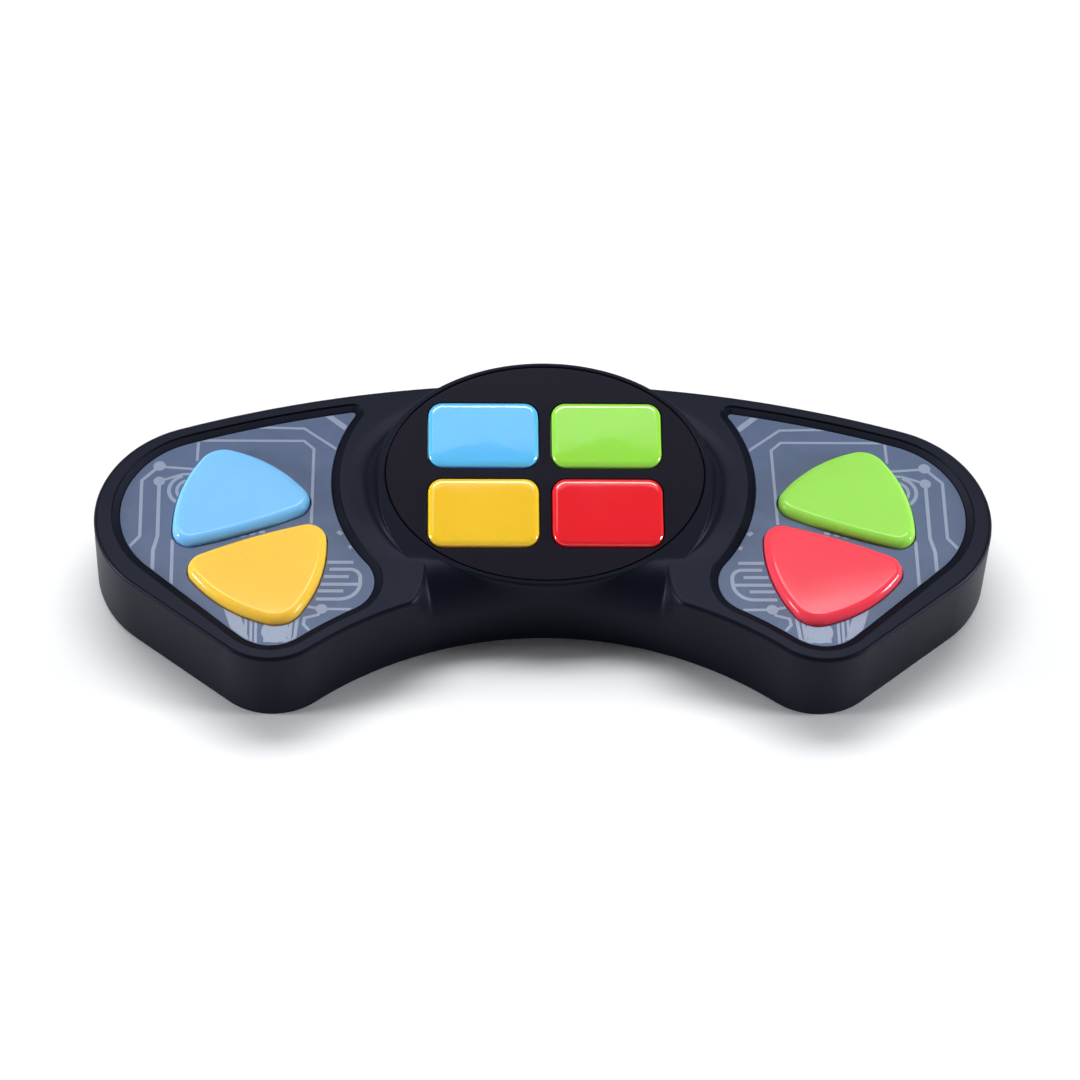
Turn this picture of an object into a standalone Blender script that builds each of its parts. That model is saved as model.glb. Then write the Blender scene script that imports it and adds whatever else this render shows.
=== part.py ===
"""Handheld electronic memory game: a boomerang case with four thumb keys and a leaning oval display of four lit windows.

X runs across the case, +Y to its crown (away from the player) and +Z out of the key side. The back lies on z = 0.
"""

import math

import bmesh
import bpy
from mathutils import Matrix, Vector
from mathutils.geometry import delaunay_2d_cdt

MM = 0.001

# Case outline, seen from the key side. The display's centre is at x = y = 0 until the end.
CROWN_Y = 34.5 * MM
CROWN_RADIUS = 268.0 * MM
END_X = 79.7 * MM
END_RADIUS = 28.2 * MM
TIP_X = 64.6 * MM
TIP_RADIUS = 15.7 * MM
ARCH_Y = -28.9 * MM
ARCH_RADIUS = 88.6 * MM
CASE_HEIGHT = 21.0 * MM
EDGE_RADIUS = 1.0 * MM
WALL_DRAFT = 0.6 * MM
WALL = 2.2 * MM
CEILING = 1.8 * MM
GAP = 0.3 * MM
OVERRUN = 2.0 * MM

# Front edge between the shoulders, rolled over with a large radius.
SHOULDER_X = 29.3 * MM
SHOULDER_BLEND = 1.0 * MM
SHOULDER_FADE = 10.0 * MM
ROLL_RADIUS = 12.0 * MM

# Leaning display and the collar round it.
LEAN = math.radians(17.0)
DISPLAY_HEIGHT = 27.6 * MM
DISPLAY_HALF_WIDTH = 38.5 * MM
DISPLAY_HALF_HEIGHT = 27.9 * MM
COLLAR_SIDE = 1.7 * MM
COLLAR_TOP = 1.0 * MM
COLLAR_NOSE = 1.3 * MM
COLLAR_LOW_REACH = 4.1 * MM
COLLAR_LOW_POWER = 2.5
FLARE_WIDTH = 8.0 * MM
NOSE_FLARE = 4.0 * MM
TROUGH_X = 21.0 * MM
TROUGH_Y = 2.1 * MM
TROUGH_RADIUS = 27.0 * MM
TROUGH_DEPTH = 1.6 * MM
TROUGH_SLOPE = 3.0 * MM

# Recess with the printed inlay in each wing.
RIM = 4.8 * MM
END_RIM = 5.5 * MM
END_RIM_SHIFT = 0.5 * MM
STEP_WIDTH = 1.7 * MM
STEP_DEPTH = 0.45 * MM
INLAY_DEPTH = 1.0 * MM
INLAY_THICKNESS = 0.4 * MM
BOW_X = 10.2 * MM
BOW_Y = 3.6 * MM
BOW_RADIUS = 41.2 * MM
LOW_CORNER_RADIUS = 9.2 * MM
HORN_RADIUS = 1.0 * MM

# Thumb keys: three corner circles joined by bowed sides, about the middle of the pair. Their x shares follow the
# wing's room and all others its height. The lower key is the upper one turned half round.
KEY_MIDDLE_X_SHARE = 0.3792
KEY_MIDDLE_Y_SHARE = -0.1064
KEY_CORNER_SHARES = ((0.1394, 0.2718, 0.0907), (-0.1885, 0.1439, 0.0633), (0.2756, 0.0195, 0.0610))
KEY_SIDE_SHARES = (0.4807, 1.927, 0.5041)
KEY_PROUD = 2.5 * MM
KEY_ROUNDING = 1.5 * MM
KEY_FLANGE = 1.0 * MM
KEY_FLANGE_THICKNESS = 1.2 * MM
KEY_TRAVEL = 1.5 * MM
PLUNGER_RADIUS = 2.0 * MM

# Key boards, hung from posts under the wings' ceiling.
KEY_BOARD_TOP = 10.0 * MM
BOARD_THICKNESS = 1.6 * MM
KEY_BOARD_CORNER_SHARES = ((-0.268, 0.305), (0.266, 0.222), (0.385, -0.109), (-0.169, -0.261))
KEY_BOARD_CORNER_RADIUS = 4.0 * MM
POST_RADIUS = 2.3 * MM
DOME_RADIUS = 4.5 * MM
DOME_TOP_RADIUS = 2.4 * MM
DOME_FOOT_RADIUS = 6.0 * MM
DOME_SKIN = 0.8 * MM

# Display module, measured down the display's own axis from the collar's top face.
PLATE_SINK = 0.25 * MM
PLATE_THICKNESS = 2.0 * MM
LEDGE_WIDTH = 2.2 * MM
LEDGE_THICKNESS = 2.1 * MM
CHAMBER_STEP = 1.5 * MM
SEAT_SIDES = 56
WELL_SIDES = 40
WINDOW_INNER_X = 1.6 * MM
WINDOW_WIDTH_SHARE = 0.688
WINDOW_TOP_LOW = 1.25 * MM
WINDOW_TOP_HEIGHT_SHARE = 0.599
WINDOW_LOW_TOP = -1.9 * MM
WINDOW_LOW_HEIGHT_SHARE = 0.62
WINDOW_CORNER = 3.5 * MM
WINDOW_PROUD = 0.9 * MM
WINDOW_EDGE_HEIGHT = -0.2 * MM
WINDOW_ROUNDING = 1.6 * MM
WINDOW_FLANGE = 0.8 * MM
WINDOW_FLANGE_THICKNESS = 1.0 * MM
WINDOW_CLEARANCE = 0.25 * MM
BAFFLE_HEIGHT = 6.0 * MM
BAFFLE_WALL = 1.1 * MM
MODULE_BOSS_ROOM = 1.6 * MM
MODULE_BOSS_RADIUS = 2.3 * MM
BOARD_MARGIN = 1.4 * MM
SNAP_WIDTH = 5.0 * MM
SNAP_THICKNESS = 1.2 * MM
SNAP_HOOK = 0.9 * MM
SNAP_HOOK_HEIGHT = 1.2 * MM
LED_RADIUS = 2.5 * MM
LED_HEIGHT = 4.6 * MM
CHIP_RADIUS = 4.5 * MM
CHIP_THICKNESS = 1.4 * MM
CAPACITOR_RADIUS = 2.0 * MM
CAPACITOR_LENGTH = 5.0 * MM
CAPACITOR_X = 17.0 * MM

# Back cover, its screws and what it carries.
COVER_THICKNESS = 2.0 * MM
SCREW_EDGE = 6.6 * MM
CROWN_SCREW_ROOM = 5.0 * MM
SCREW_RADIUS = 1.0 * MM
SCREW_HEAD_RADIUS = 2.3 * MM
SCREW_HEAD_HEIGHT = 1.6 * MM
SCREW_LENGTH = 8.0 * MM
SCREW_SLOT = 0.7 * MM
SCREW_SINK = 0.9 * MM
BOSS_RADIUS = 3.0 * MM
CUP_WALL = 1.4 * MM

CELL_RADIUS = 5.25 * MM
CELL_LENGTH = 43.5 * MM
CELL_NUB_RADIUS = 1.9 * MM
CELL_NUB = 1.0 * MM
CELL_SPRING_SPACE = 5.5 * MM
CELL_PLAY = 0.4 * MM
BAY_BACK_MARGIN = 3.2 * MM
BAY_WALL = 1.2 * MM
CONTACT_THICKNESS = 0.4 * MM
DOOR_THICKNESS = 1.8 * MM
DOOR_TAB_PITCH = 12.0 * MM
DOOR_TAB_WIDTH = 5.0 * MM
DOOR_TAB_REACH = 1.3 * MM
DOOR_TAB_THICKNESS = 1.0 * MM
DOOR_LUG_WIDTH = 9.0 * MM
DOOR_LUG_LENGTH = 5.6 * MM
DOOR_LUG_THICKNESS = 3.3 * MM
DOOR_SCREW_SINK = 0.3 * MM
DOOR_SCREW_ENGAGED = 2.4 * MM
SPRING_WIRE = 0.35 * MM
SPRING_TURNS = 3

SPEAKER_Y = -11.0 * MM
SPEAKER_RADIUS = 12.5 * MM
SPEAKER_HEIGHT = 5.0 * MM
SPEAKER_RING_WALL = 1.2 * MM
SPEAKER_RING_HEIGHT = 2.2 * MM
GRILLE_SLOT = 1.5 * MM
GRILLE_PITCH = 3.4 * MM
GRILLE_RADIUS = 8.6 * MM

SWITCH_X = -44.0 * MM
SWITCH_Y = -12.0 * MM
SWITCH_LENGTH = 12.0 * MM
SWITCH_WIDTH = 6.0 * MM
SWITCH_HEIGHT = 5.0 * MM
SWITCH_WALL = 1.0 * MM
SWITCH_TRAVEL = 3.0 * MM
KNOB_LENGTH = 3.6 * MM
KNOB_WIDTH = 1.8 * MM
SLIDER_HEAD = 1.5 * MM

WIRE_RADIUS = 0.6 * MM
LEAD_RADIUS = 1.1 * MM

LEFT, RIGHT = -1.0, 1.0


# Scene, materials and mesh helpers.
def clear_scene():
    for thing in list(bpy.data.objects):
        bpy.data.objects.remove(thing, do_unlink=True)


def material(name, colour, roughness, metallic=0.0):
    made = bpy.data.materials.new(name)
    made.use_nodes = True
    shader = made.node_tree.nodes["Principled BSDF"]
    shader.inputs["Base Color"].default_value = (*colour, 1.0)
    shader.inputs["Roughness"].default_value = roughness
    shader.inputs["Metallic"].default_value = metallic
    return made


def place(name, data, parent, finish=None):
    """One named object under its parent; without a finish it is a helper that no render shows."""
    thing = bpy.data.objects.new(name, data)
    bpy.context.scene.collection.objects.link(thing)
    thing.parent = parent
    if finish is not None:
        data.materials.append(finish)
    elif data is not None:
        thing.hide_render = True
        thing.display_type = "WIRE"
    return thing


def mesh_from(bm, name, smooth_angle=math.radians(35.0)):
    bmesh.ops.recalc_face_normals(bm, faces=bm.faces)
    mesh = bpy.data.meshes.new(name)
    bm.to_mesh(mesh)
    bm.free()
    mesh.shade_smooth()
    mesh.set_sharp_from_angle(angle=smooth_angle)
    return mesh


def loft(levels):
    """A closed solid through outlines of one point count, given as (points, height)."""
    bm = bmesh.new()
    rings = [[bm.verts.new((x, y, z)) for x, y in points] for points, z in levels]
    for low, high in zip(rings, rings[1:]):
        for i in range(len(low)):
            j = (i + 1) % len(low)
            bm.faces.new((low[i], low[j], high[j], high[i]))
    bm.faces.new(rings[0][::-1])
    bm.faces.new(rings[-1])
    return bm


def prism(points, low, high):
    return loft([(points, low), (points, high)])


def box(low, high):
    (x0, y0, z0), (x1, y1, z1) = low, high
    return prism([(x0, y0), (x1, y0), (x1, y1), (x0, y1)], z0, z1)


def turned(profile, segments, centre=(0.0, 0.0)):
    """A solid turned about a vertical axis. The profile is (radius, height) from the axis up and back to it."""
    bm = bmesh.new()
    rows = []
    for radius, z in profile:
        if radius == 0.0:
            rows.append([bm.verts.new((*centre, z))] * segments)
            continue
        turn = [math.tau * (i + 0.5) / segments for i in range(segments)]
        rows.append([bm.verts.new((*polar(centre, radius, a), z)) for a in turn])
    pairs = list(zip(rows, rows[1:]))
    if profile[0][0] != 0.0:
        pairs.append((rows[-1], rows[0]))
    for low, high in pairs:
        for i in range(segments):
            j = (i + 1) % segments
            corners = []
            for corner in (low[i], low[j], high[j], high[i]):
                if corner not in corners:
                    corners.append(corner)
            if len(corners) > 2:
                bm.faces.new(corners)
    return bm


def cylinder(centre, radius, low, high, segments=10):
    return turned([(0.0, low), (radius, low), (radius, high), (0.0, high)], segments, centre)


def tube_path(route, radius, parent, name, finish, per_span=3):
    """A wire along a smooth curve through the route's points."""
    points = [Vector(p) for p in route]
    ends = [2 * points[0] - points[1]] + points + [2 * points[-1] - points[-2]]
    path = []
    for a, b, c, d in zip(ends, ends[1:], ends[2:], ends[3:]):
        for i in range(per_span):
            t = i / per_span
            path.append(0.5 * (2 * b + (c - a) * t + (2 * a - 5 * b + 4 * c - d) * t**2 + (3 * b - a - 3 * c + d) * t**3))
    path.append(points[-1])
    curve = bpy.data.curves.new(name, "CURVE")
    curve.dimensions = "3D"
    curve.bevel_depth = radius
    curve.bevel_resolution = 1
    curve.use_fill_caps = True
    spline = curve.splines.new("POLY")
    spline.points.add(len(path) - 1)
    for point, at in zip(spline.points, path):
        point.co = (*at, 1.0)
    return place(name, curve, parent, finish)


def boolean(thing, tool, operation):
    step = thing.modifiers.new(tool.name, "BOOLEAN")
    step.operation = operation
    step.solver = "EXACT"
    step.object = tool
    return thing


def cut(thing, bm, name, parent=None):
    helper = place(f"{thing.name}_{name}", mesh_from(bm, name), parent or thing.parent)
    return boolean(thing, helper, "DIFFERENCE")


def join(thing, bm, name, parent=None):
    helper = place(f"{thing.name}_{name}", mesh_from(bm, name), parent or thing.parent)
    return boolean(thing, helper, "UNION")


# Plane outlines made of tangent arcs.
def polar(centre, radius, angle):
    return (centre[0] + radius * math.cos(angle), centre[1] + radius * math.sin(angle))


def arc(centre, radius, start, end, count):
    return [polar(centre, radius, start + (end - start) * i / count) for i in range(count + 1)]


def heading(start, end):
    return math.atan2(end[1] - start[1], end[0] - start[0])


def meeting(first, first_radius, second, second_radius, side):
    """Where two circles cross; side +1 lies left of the line from first to second."""
    dx, dy = second[0] - first[0], second[1] - first[1]
    apart = math.hypot(dx, dy)
    along = (first_radius**2 - second_radius**2 + apart**2) / (2 * apart)
    across = side * math.sqrt(max(first_radius**2 - along**2, 0.0))
    return (first[0] + (along * dx - across * dy) / apart, first[1] + (along * dy + across * dx) / apart)


def mirrored(points):
    return [(-x, y) for x, y in reversed(points)]


def rounded_rectangle(low, high, radius, count=3):
    points = []
    corners = ((high[0], high[1], 0.0), (low[0], high[1], 0.5), (low[0], low[1], 1.0), (high[0], low[1], 1.5))
    for x, y, quarter in corners:
        centre = (x - math.copysign(radius, x - low[0] - radius), y - math.copysign(radius, y - low[1] - radius))
        points += arc(centre, radius, math.pi * quarter, math.pi * (quarter + 0.5), count)
    return points


def ellipse(half_width, half_height, count=48):
    turn = [math.tau * i / count for i in range(count)]
    return [(half_width * math.cos(a), half_height * math.sin(a)) for a in turn]


CROWN = (0.0, CROWN_Y - CROWN_RADIUS)
ARCH = (0.0, ARCH_Y - ARCH_RADIUS)
END = (END_X, CROWN[1] + math.sqrt((CROWN_RADIUS - END_RADIUS) ** 2 - END_X**2))
TIP = (TIP_X, ARCH[1] + math.sqrt((ARCH_RADIUS + TIP_RADIUS) ** 2 - TIP_X**2))
BOW = (BOW_X, BOW_Y)
SIDE_NORMAL = heading(TIP, END) - math.acos((TIP_RADIUS - END_RADIUS) / math.dist(TIP, END))

INLAY_END_X = END_X - END_RIM_SHIFT
INLAY_END_RADIUS = END_RADIUS - END_RIM
INLAY_END_REACH = CROWN_RADIUS - RIM - INLAY_END_RADIUS
INLAY_END = (INLAY_END_X, CROWN[1] + math.sqrt(INLAY_END_REACH**2 - INLAY_END_X**2))
INLAY_TIP_RADIUS = TIP_RADIUS - RIM
INLAY_FLANK = heading(TIP, INLAY_END) - math.acos((INLAY_TIP_RADIUS - INLAY_END_RADIUS) / math.dist(TIP, INLAY_END))
WING_ROOM = INLAY_END_X + INLAY_END_RADIUS - BOW_X - BOW_RADIUS
WING_HEIGHT = INLAY_END[1] + INLAY_END_RADIUS + RIM - TIP[1] + TIP_RADIUS
KEY_MIDDLE = (
    BOW_X + BOW_RADIUS + KEY_MIDDLE_X_SHARE * WING_ROOM,
    INLAY_END[1] + KEY_MIDDLE_Y_SHARE * WING_HEIGHT,
)


def from_key_middle(shares):
    return (KEY_MIDDLE[0] + shares[0] * WING_ROOM, KEY_MIDDLE[1] + shares[1] * WING_HEIGHT)


KEY_BOARD_CORNERS = [from_key_middle(shares) for shares in KEY_BOARD_CORNER_SHARES]
KEY_POSTS = (KEY_BOARD_CORNERS[0], KEY_BOARD_CORNERS[2])


def case_half(inset, counts=(8, 11, 7, 9)):
    """Right half of the case outline from the crown down to the arch's middle, drawn in by inset."""
    crown, end, tip, arch = counts
    top = math.pi / 2
    points = arc(CROWN, CROWN_RADIUS - inset, top, heading(CROWN, END), crown)
    points += arc(END, END_RADIUS - inset, heading(CROWN, END), SIDE_NORMAL, end)[1:]
    points += arc(TIP, TIP_RADIUS - inset, SIDE_NORMAL, heading(TIP, ARCH), tip)
    points += arc(ARCH, ARCH_RADIUS + inset, heading(ARCH, TIP), top, arch)[1:]
    return points


def case_outline(inset):
    right = case_half(inset)
    return right + mirrored(right)[1:-1]


def wing_outline(side, grow):
    """The inlay's outline, grown outwards: crown, end, straight flank, tip, arch, low corner, bow and horn."""
    inset = RIM - grow
    corner_gap = LOW_CORNER_RADIUS
    low = meeting(ARCH, ARCH_RADIUS + RIM + corner_gap, BOW, BOW_RADIUS + corner_gap, -1)
    horn = meeting(CROWN, CROWN_RADIUS - RIM - HORN_RADIUS, BOW, BOW_RADIUS + HORN_RADIUS, -1)
    points = arc(horn, HORN_RADIUS + grow, heading(horn, BOW), heading(CROWN, horn) - math.tau, 4)
    points += arc(CROWN, CROWN_RADIUS - inset, heading(CROWN, horn), heading(CROWN, INLAY_END), 5)[1:]
    points += arc(INLAY_END, INLAY_END_RADIUS + grow, heading(CROWN, INLAY_END), INLAY_FLANK, 9)[1:]
    points += arc(TIP, TIP_RADIUS - inset, INLAY_FLANK, heading(TIP, ARCH), 5)
    points += arc(ARCH, ARCH_RADIUS + inset, heading(ARCH, TIP), heading(ARCH, low), 3)[1:]
    points += arc(low, LOW_CORNER_RADIUS + grow, heading(low, ARCH), heading(low, BOW) - math.tau, 6)[1:]
    points += arc(BOW, BOW_RADIUS - grow, heading(BOW, low), heading(BOW, horn), 8)[1:-1]
    return points if side > 0 else mirrored(points)


def key_outline(side, lower, grow, corner_steps=5, side_steps=4):
    """A thumb key's outline, grown outwards, counter-clockwise from its crown-side corner."""
    points = []
    corners = [(*from_key_middle(shares), shares[2] * WING_HEIGHT) for shares in KEY_CORNER_SHARES]
    radii = [share * WING_HEIGHT for share in KEY_SIDE_SHARES]
    bows = []
    for k, (ax, ay, ar) in enumerate(corners):
        bx, by, br = corners[(k + 1) % len(corners)]
        bows.append(meeting((ax, ay), radii[k] - ar, (bx, by), radii[k] - br, 1))
    for k, (x, y, radius) in enumerate(corners):
        after = corners[(k + 1) % len(corners)]
        start = heading(bows[k - 1], (x, y))
        end = heading(bows[k], (x, y))
        end += math.tau if end < start else 0.0
        points += arc((x, y), radius + grow, start, end, corner_steps)
        far = heading(bows[k], after[:2])
        far += math.tau if far < end else 0.0
        points += arc(bows[k], radii[k] + grow, end, far, side_steps)[1:-1]
    if lower:
        points = [(2 * KEY_MIDDLE[0] - x, 2 * KEY_MIDDLE[1] - y) for x, y in points]
    return points if side > 0 else mirrored(points)


def centre_of(points):
    return (sum(p[0] for p in points) / len(points), sum(p[1] for p in points) / len(points))


# Key-side surface of the case as one height over each plane point.
def smooth_step(value):
    value = min(max(value, 0.0), 1.0)
    return value * value * (3.0 - 2.0 * value)


def rounded_fall(distance, radius):
    """How far a rounded edge has dropped at this distance inside the outline."""
    reach = radius - min(max(distance, 0.0), radius)
    return radius - math.sqrt(radius**2 - reach**2)


def flare_fall(distance, width):
    """Share of its drop that the hollow flare has made at this distance: steep first, then level."""
    left = 1.0 - min(max(distance / width, 0.0), 1.0)
    return math.sqrt(1.0 - left**2)


def display_plane(y):
    return DISPLAY_HEIGHT + y * math.tan(LEAN)


PLAN_HALF_HEIGHT = DISPLAY_HALF_HEIGHT * math.cos(LEAN)
MEET_Y = (CASE_HEIGHT - DISPLAY_HEIGHT) / math.tan(LEAN)


def collar_reach(angle, front):
    """Plan distance from the display's centre to the collar's edge."""
    c, s = abs(math.cos(angle)), abs(math.sin(angle))
    across = DISPLAY_HALF_WIDTH + COLLAR_SIDE
    if front:
        across, up, power = DISPLAY_HALF_WIDTH + COLLAR_NOSE, PLAN_HALF_HEIGHT + COLLAR_NOSE, 2.0
    elif math.sin(angle) >= 0.0:
        up, power = PLAN_HALF_HEIGHT + COLLAR_TOP, 2.0
    else:
        up, power = PLAN_HALF_HEIGHT + COLLAR_LOW_REACH, COLLAR_LOW_POWER
    return ((c / across) ** power + (s / up) ** power) ** (-1.0 / power)


def edge_distance(x, y, outline):
    best = math.inf
    for (ax, ay), (bx, by) in zip(outline, outline[1:] + outline[:1]):
        ex, ey = bx - ax, by - ay
        length = ex * ex + ey * ey
        t = min(max(((x - ax) * ex + (y - ay) * ey) / length, 0.0), 1.0) if length else 0.0
        best = min(best, math.hypot(x - ax - t * ex, y - ay - t * ey))
    return best


def key_side_height(x, y, outline):
    across = smooth_step((SHOULDER_X + SHOULDER_BLEND / 2 - abs(x)) / SHOULDER_BLEND)
    roll = EDGE_RADIUS + (ROLL_RADIUS - EDGE_RADIUS) * across
    to_arch = math.dist((x, y), ARCH) - ARCH_RADIUS
    fall = max(rounded_fall(edge_distance(x, y, outline), EDGE_RADIUS), rounded_fall(to_arch, roll))
    inside = TROUGH_RADIUS - math.dist((abs(x), y), (TROUGH_X, TROUGH_Y))
    trough = TROUGH_DEPTH * smooth_step(inside / TROUGH_SLOPE) * smooth_step((y - MEET_Y) / TROUGH_SLOPE)
    ground = CASE_HEIGHT - fall - trough
    angle = math.atan2(y, x)
    front = y < MEET_Y
    beyond = math.hypot(x, y) - collar_reach(angle, front)
    lift = max(display_plane(y) - ground, 0.0)
    return ground + lift * (1.0 - flare_fall(beyond, NOSE_FLARE if front else FLARE_WIDTH))


RING_SHARES = (0.0, 0.02, 0.12, 0.32, 0.62, 1.0)
ROUNDING_ANGLES = (90.0, 45.0, 0.0)


def case_blank():
    """The case as a solid: its key-side surface, walls that widen a little to the foot, and flat back."""
    outline = case_outline(0.0)
    points, edges = [], []

    def add(line, closed):
        start = len(points)
        points.extend(line)
        edges.extend((start + i, start + i + 1) for i in range(len(line) - 1))
        if closed:
            edges.append((start + len(line) - 1, start))

    def add_inside(line):
        run = []
        for x, y in line + [(math.inf, math.inf)]:
            inner = abs(x) < math.inf and CROWN_RADIUS - math.dist((x, y), CROWN) > EDGE_RADIUS
            if inner and math.dist((x, y), ARCH) - ARCH_RADIUS > margin:
                run.append((x, y))
                continue
            if len(run) > 1:
                add(run, False)
            run = []

    margin = EDGE_RADIUS / len(ROUNDING_ANGLES)
    for degrees in ROUNDING_ANGLES:
        inset = EDGE_RADIUS * (1.0 - math.sin(math.radians(degrees)))
        add(case_outline(inset), True)
    for degrees in (68.0, 46.0, 23.0, 0.0):
        radius = ARCH_RADIUS + ROLL_RADIUS * (1.0 - math.sin(math.radians(degrees)))
        swing = math.asin((SHOULDER_X - SHOULDER_BLEND) / radius)
        add(arc(ARCH, radius, math.pi / 2 + swing, math.pi / 2 - swing, 12), False)
    for x in (SHOULDER_X - SHOULDER_BLEND / 2, SHOULDER_X, SHOULDER_X + SHOULDER_BLEND / 2):
        foot = ARCH[1] + math.sqrt(ARCH_RADIUS**2 - x * x)
        depths = [margin + (ROLL_RADIUS - margin) * i / 4 for i in range(5)]
        for side in (LEFT, RIGHT):
            add([(side * x, foot + depth) for depth in depths], False)
    turn = [math.tau * i / 60 for i in range(61)]
    for share in RING_SHARES:
        back = [polar((0.0, 0.0), collar_reach(a, False) + share * FLARE_WIDTH, a) for a in turn]
        add_inside([p for p in back[:-1] if p[1] > MEET_Y and p[0] > 0.0][::-1])
        add_inside([p for p in back[:-1] if p[1] > MEET_Y and p[0] <= 0.0])
        nose = [polar((0.0, 0.0), collar_reach(a, True) + share * NOSE_FLARE, a) for a in turn]
        add_inside([p for p in nose[:-1] if p[1] < MEET_Y])
    for share in (0.0, 0.5, 1.0):
        radius = TROUGH_RADIUS - share * TROUGH_SLOPE
        swing = math.radians(62.0)
        for side in (LEFT, RIGHT):
            add_inside([(side * x, y) for x, y in arc((TROUGH_X, TROUGH_Y), radius, -swing, swing, 12)])

    scaled = [Vector((x / MM, y / MM)) for x, y in points]
    flat, _, triangles, _, _, _ = delaunay_2d_cdt(scaled, edges, [], 1, 1e-5)
    bm = bmesh.new()
    verts = [bm.verts.new((p.x * MM, p.y * MM, key_side_height(p.x * MM, p.y * MM, outline))) for p in flat]
    for corners in triangles:
        bm.faces.new([verts[i] for i in corners])
    loose = [v for v in bm.verts if not v.link_faces]
    bmesh.ops.delete(bm, geom=loose, context="VERTS")
    rim = [edge for edge in bm.edges if edge.is_boundary]
    walls = bmesh.ops.extrude_edge_only(bm, edges=rim)["geom"]
    grown = case_outline(-WALL_DRAFT)
    for vert in walls:
        if isinstance(vert, bmesh.types.BMVert):
            nearest = min(range(len(outline)), key=lambda i: math.dist(outline[i], vert.co.xy))
            vert.co = (*grown[nearest], 0.0)
    bmesh.ops.holes_fill(bm, edges=[edge for edge in bm.edges if edge.is_boundary])
    return bm


# Heights inside the case, all from the sizes above.
INLAY_TOP = CASE_HEIGHT - INLAY_DEPTH
RECESS_FLOOR = INLAY_TOP - INLAY_THICKNESS - GAP
CEILING_Z = RECESS_FLOOR - CEILING
FLANGE_TOP = CEILING_Z - GAP
FLANGE_LOW = FLANGE_TOP - KEY_FLANGE_THICKNESS
DOME_FOOT = KEY_BOARD_TOP + GAP
DOME_HEIGHT = (FLANGE_LOW - DOME_FOOT) * 0.68
PLUNGER_LOW = DOME_FOOT + DOME_HEIGHT + GAP
CUP_TOP = SCREW_SINK + SCREW_HEAD_HEIGHT + GAP + CUP_WALL

PLATE_LOW = -PLATE_SINK - PLATE_THICKNESS
WINDOW_FLANGE_TOP = PLATE_LOW - GAP
WINDOW_FLANGE_LOW = WINDOW_FLANGE_TOP - WINDOW_FLANGE_THICKNESS
LEDGE_TOP = PLATE_LOW - GAP
LEDGE_LOW = LEDGE_TOP - LEDGE_THICKNESS
BAFFLE_TOP = WINDOW_FLANGE_LOW - GAP
BAFFLE_LOW = BAFFLE_TOP - BAFFLE_HEIGHT
MAIN_TOP = BAFFLE_LOW - GAP
MAIN_LOW = MAIN_TOP - BOARD_THICKNESS
WINDOW_WIDTH = WINDOW_WIDTH_SHARE * DISPLAY_HALF_WIDTH
WINDOW_TOP_HEIGHT = WINDOW_TOP_HEIGHT_SHARE * DISPLAY_HALF_HEIGHT
WINDOW_LOW_HEIGHT = WINDOW_LOW_HEIGHT_SHARE * DISPLAY_HALF_HEIGHT
WELL_HALF_WIDTH = DISPLAY_HALF_WIDTH - LEDGE_WIDTH
WELL_HALF_HEIGHT = DISPLAY_HALF_HEIGHT - LEDGE_WIDTH
MODULE_BOSS_X = WELL_HALF_WIDTH - SNAP_THICKNESS - MODULE_BOSS_RADIUS - MODULE_BOSS_ROOM
CHAMBER_HALF_WIDTH = WELL_HALF_WIDTH + CHAMBER_STEP
CHAMBER_HALF_HEIGHT = WELL_HALF_HEIGHT + CHAMBER_STEP
CHAMBER_RISE = CHAMBER_HALF_HEIGHT * math.sin(LEAN)
CHAMBER_LOW = -(DISPLAY_HEIGHT + CHAMBER_RISE - CEILING_Z) / math.cos(LEAN) - OVERRUN

BAY_HALF_LENGTH = (CELL_LENGTH + CELL_NUB + CELL_SPRING_SPACE + 2 * (CONTACT_THICKNESS + GAP)) / 2
BAY_BACK = CROWN_Y - WALL - BAY_BACK_MARGIN
CELL_PITCH = 2 * CELL_RADIUS + CELL_PLAY
BAY_FRONT = BAY_BACK - 2 * CELL_PITCH - CELL_PLAY
CELL_ROWS = (BAY_BACK - CELL_PLAY - CELL_RADIUS, BAY_BACK - CELL_PLAY - CELL_RADIUS - CELL_PITCH)
CELL_Z = DOOR_THICKNESS + GAP + DOOR_TAB_THICKNESS + CELL_RADIUS
BAY_ROOF = CELL_Z + CELL_RADIUS + GAP
BAY_MIDDLE = (BAY_FRONT + BAY_BACK) / 2
CUP_RADIUS = SCREW_HEAD_RADIUS + GAP + CUP_WALL
CROWN_SCREW_X = BAY_HALF_LENGTH + DOOR_LUG_LENGTH + BAY_WALL + CROWN_SCREW_ROOM + CUP_RADIUS
CROWN_SCREW_Y = CROWN[1] + math.sqrt((CROWN_RADIUS - SCREW_EDGE) ** 2 - CROWN_SCREW_X**2)
SCREW_PLACES = (
    polar(END, END_RADIUS - SCREW_EDGE, (heading(CROWN, END) + SIDE_NORMAL) / 2),
    (TIP[0], TIP[1] - TIP_RADIUS + SCREW_EDGE),
    (CROWN_SCREW_X, CROWN_SCREW_Y),
)
DOOR_SCREW = (BAY_HALF_LENGTH + DOOR_LUG_LENGTH / 2, BAY_MIDDLE)
DOOR_BLOCK_LOW = DOOR_LUG_THICKNESS + GAP


def on_display(x, up, down):
    """A point of the display's leaning frame in the case's frame."""
    y = up * math.cos(LEAN) - down * math.sin(LEAN)
    return (x, y, DISPLAY_HEIGHT + up * math.sin(LEAN) + down * math.cos(LEAN))


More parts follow.
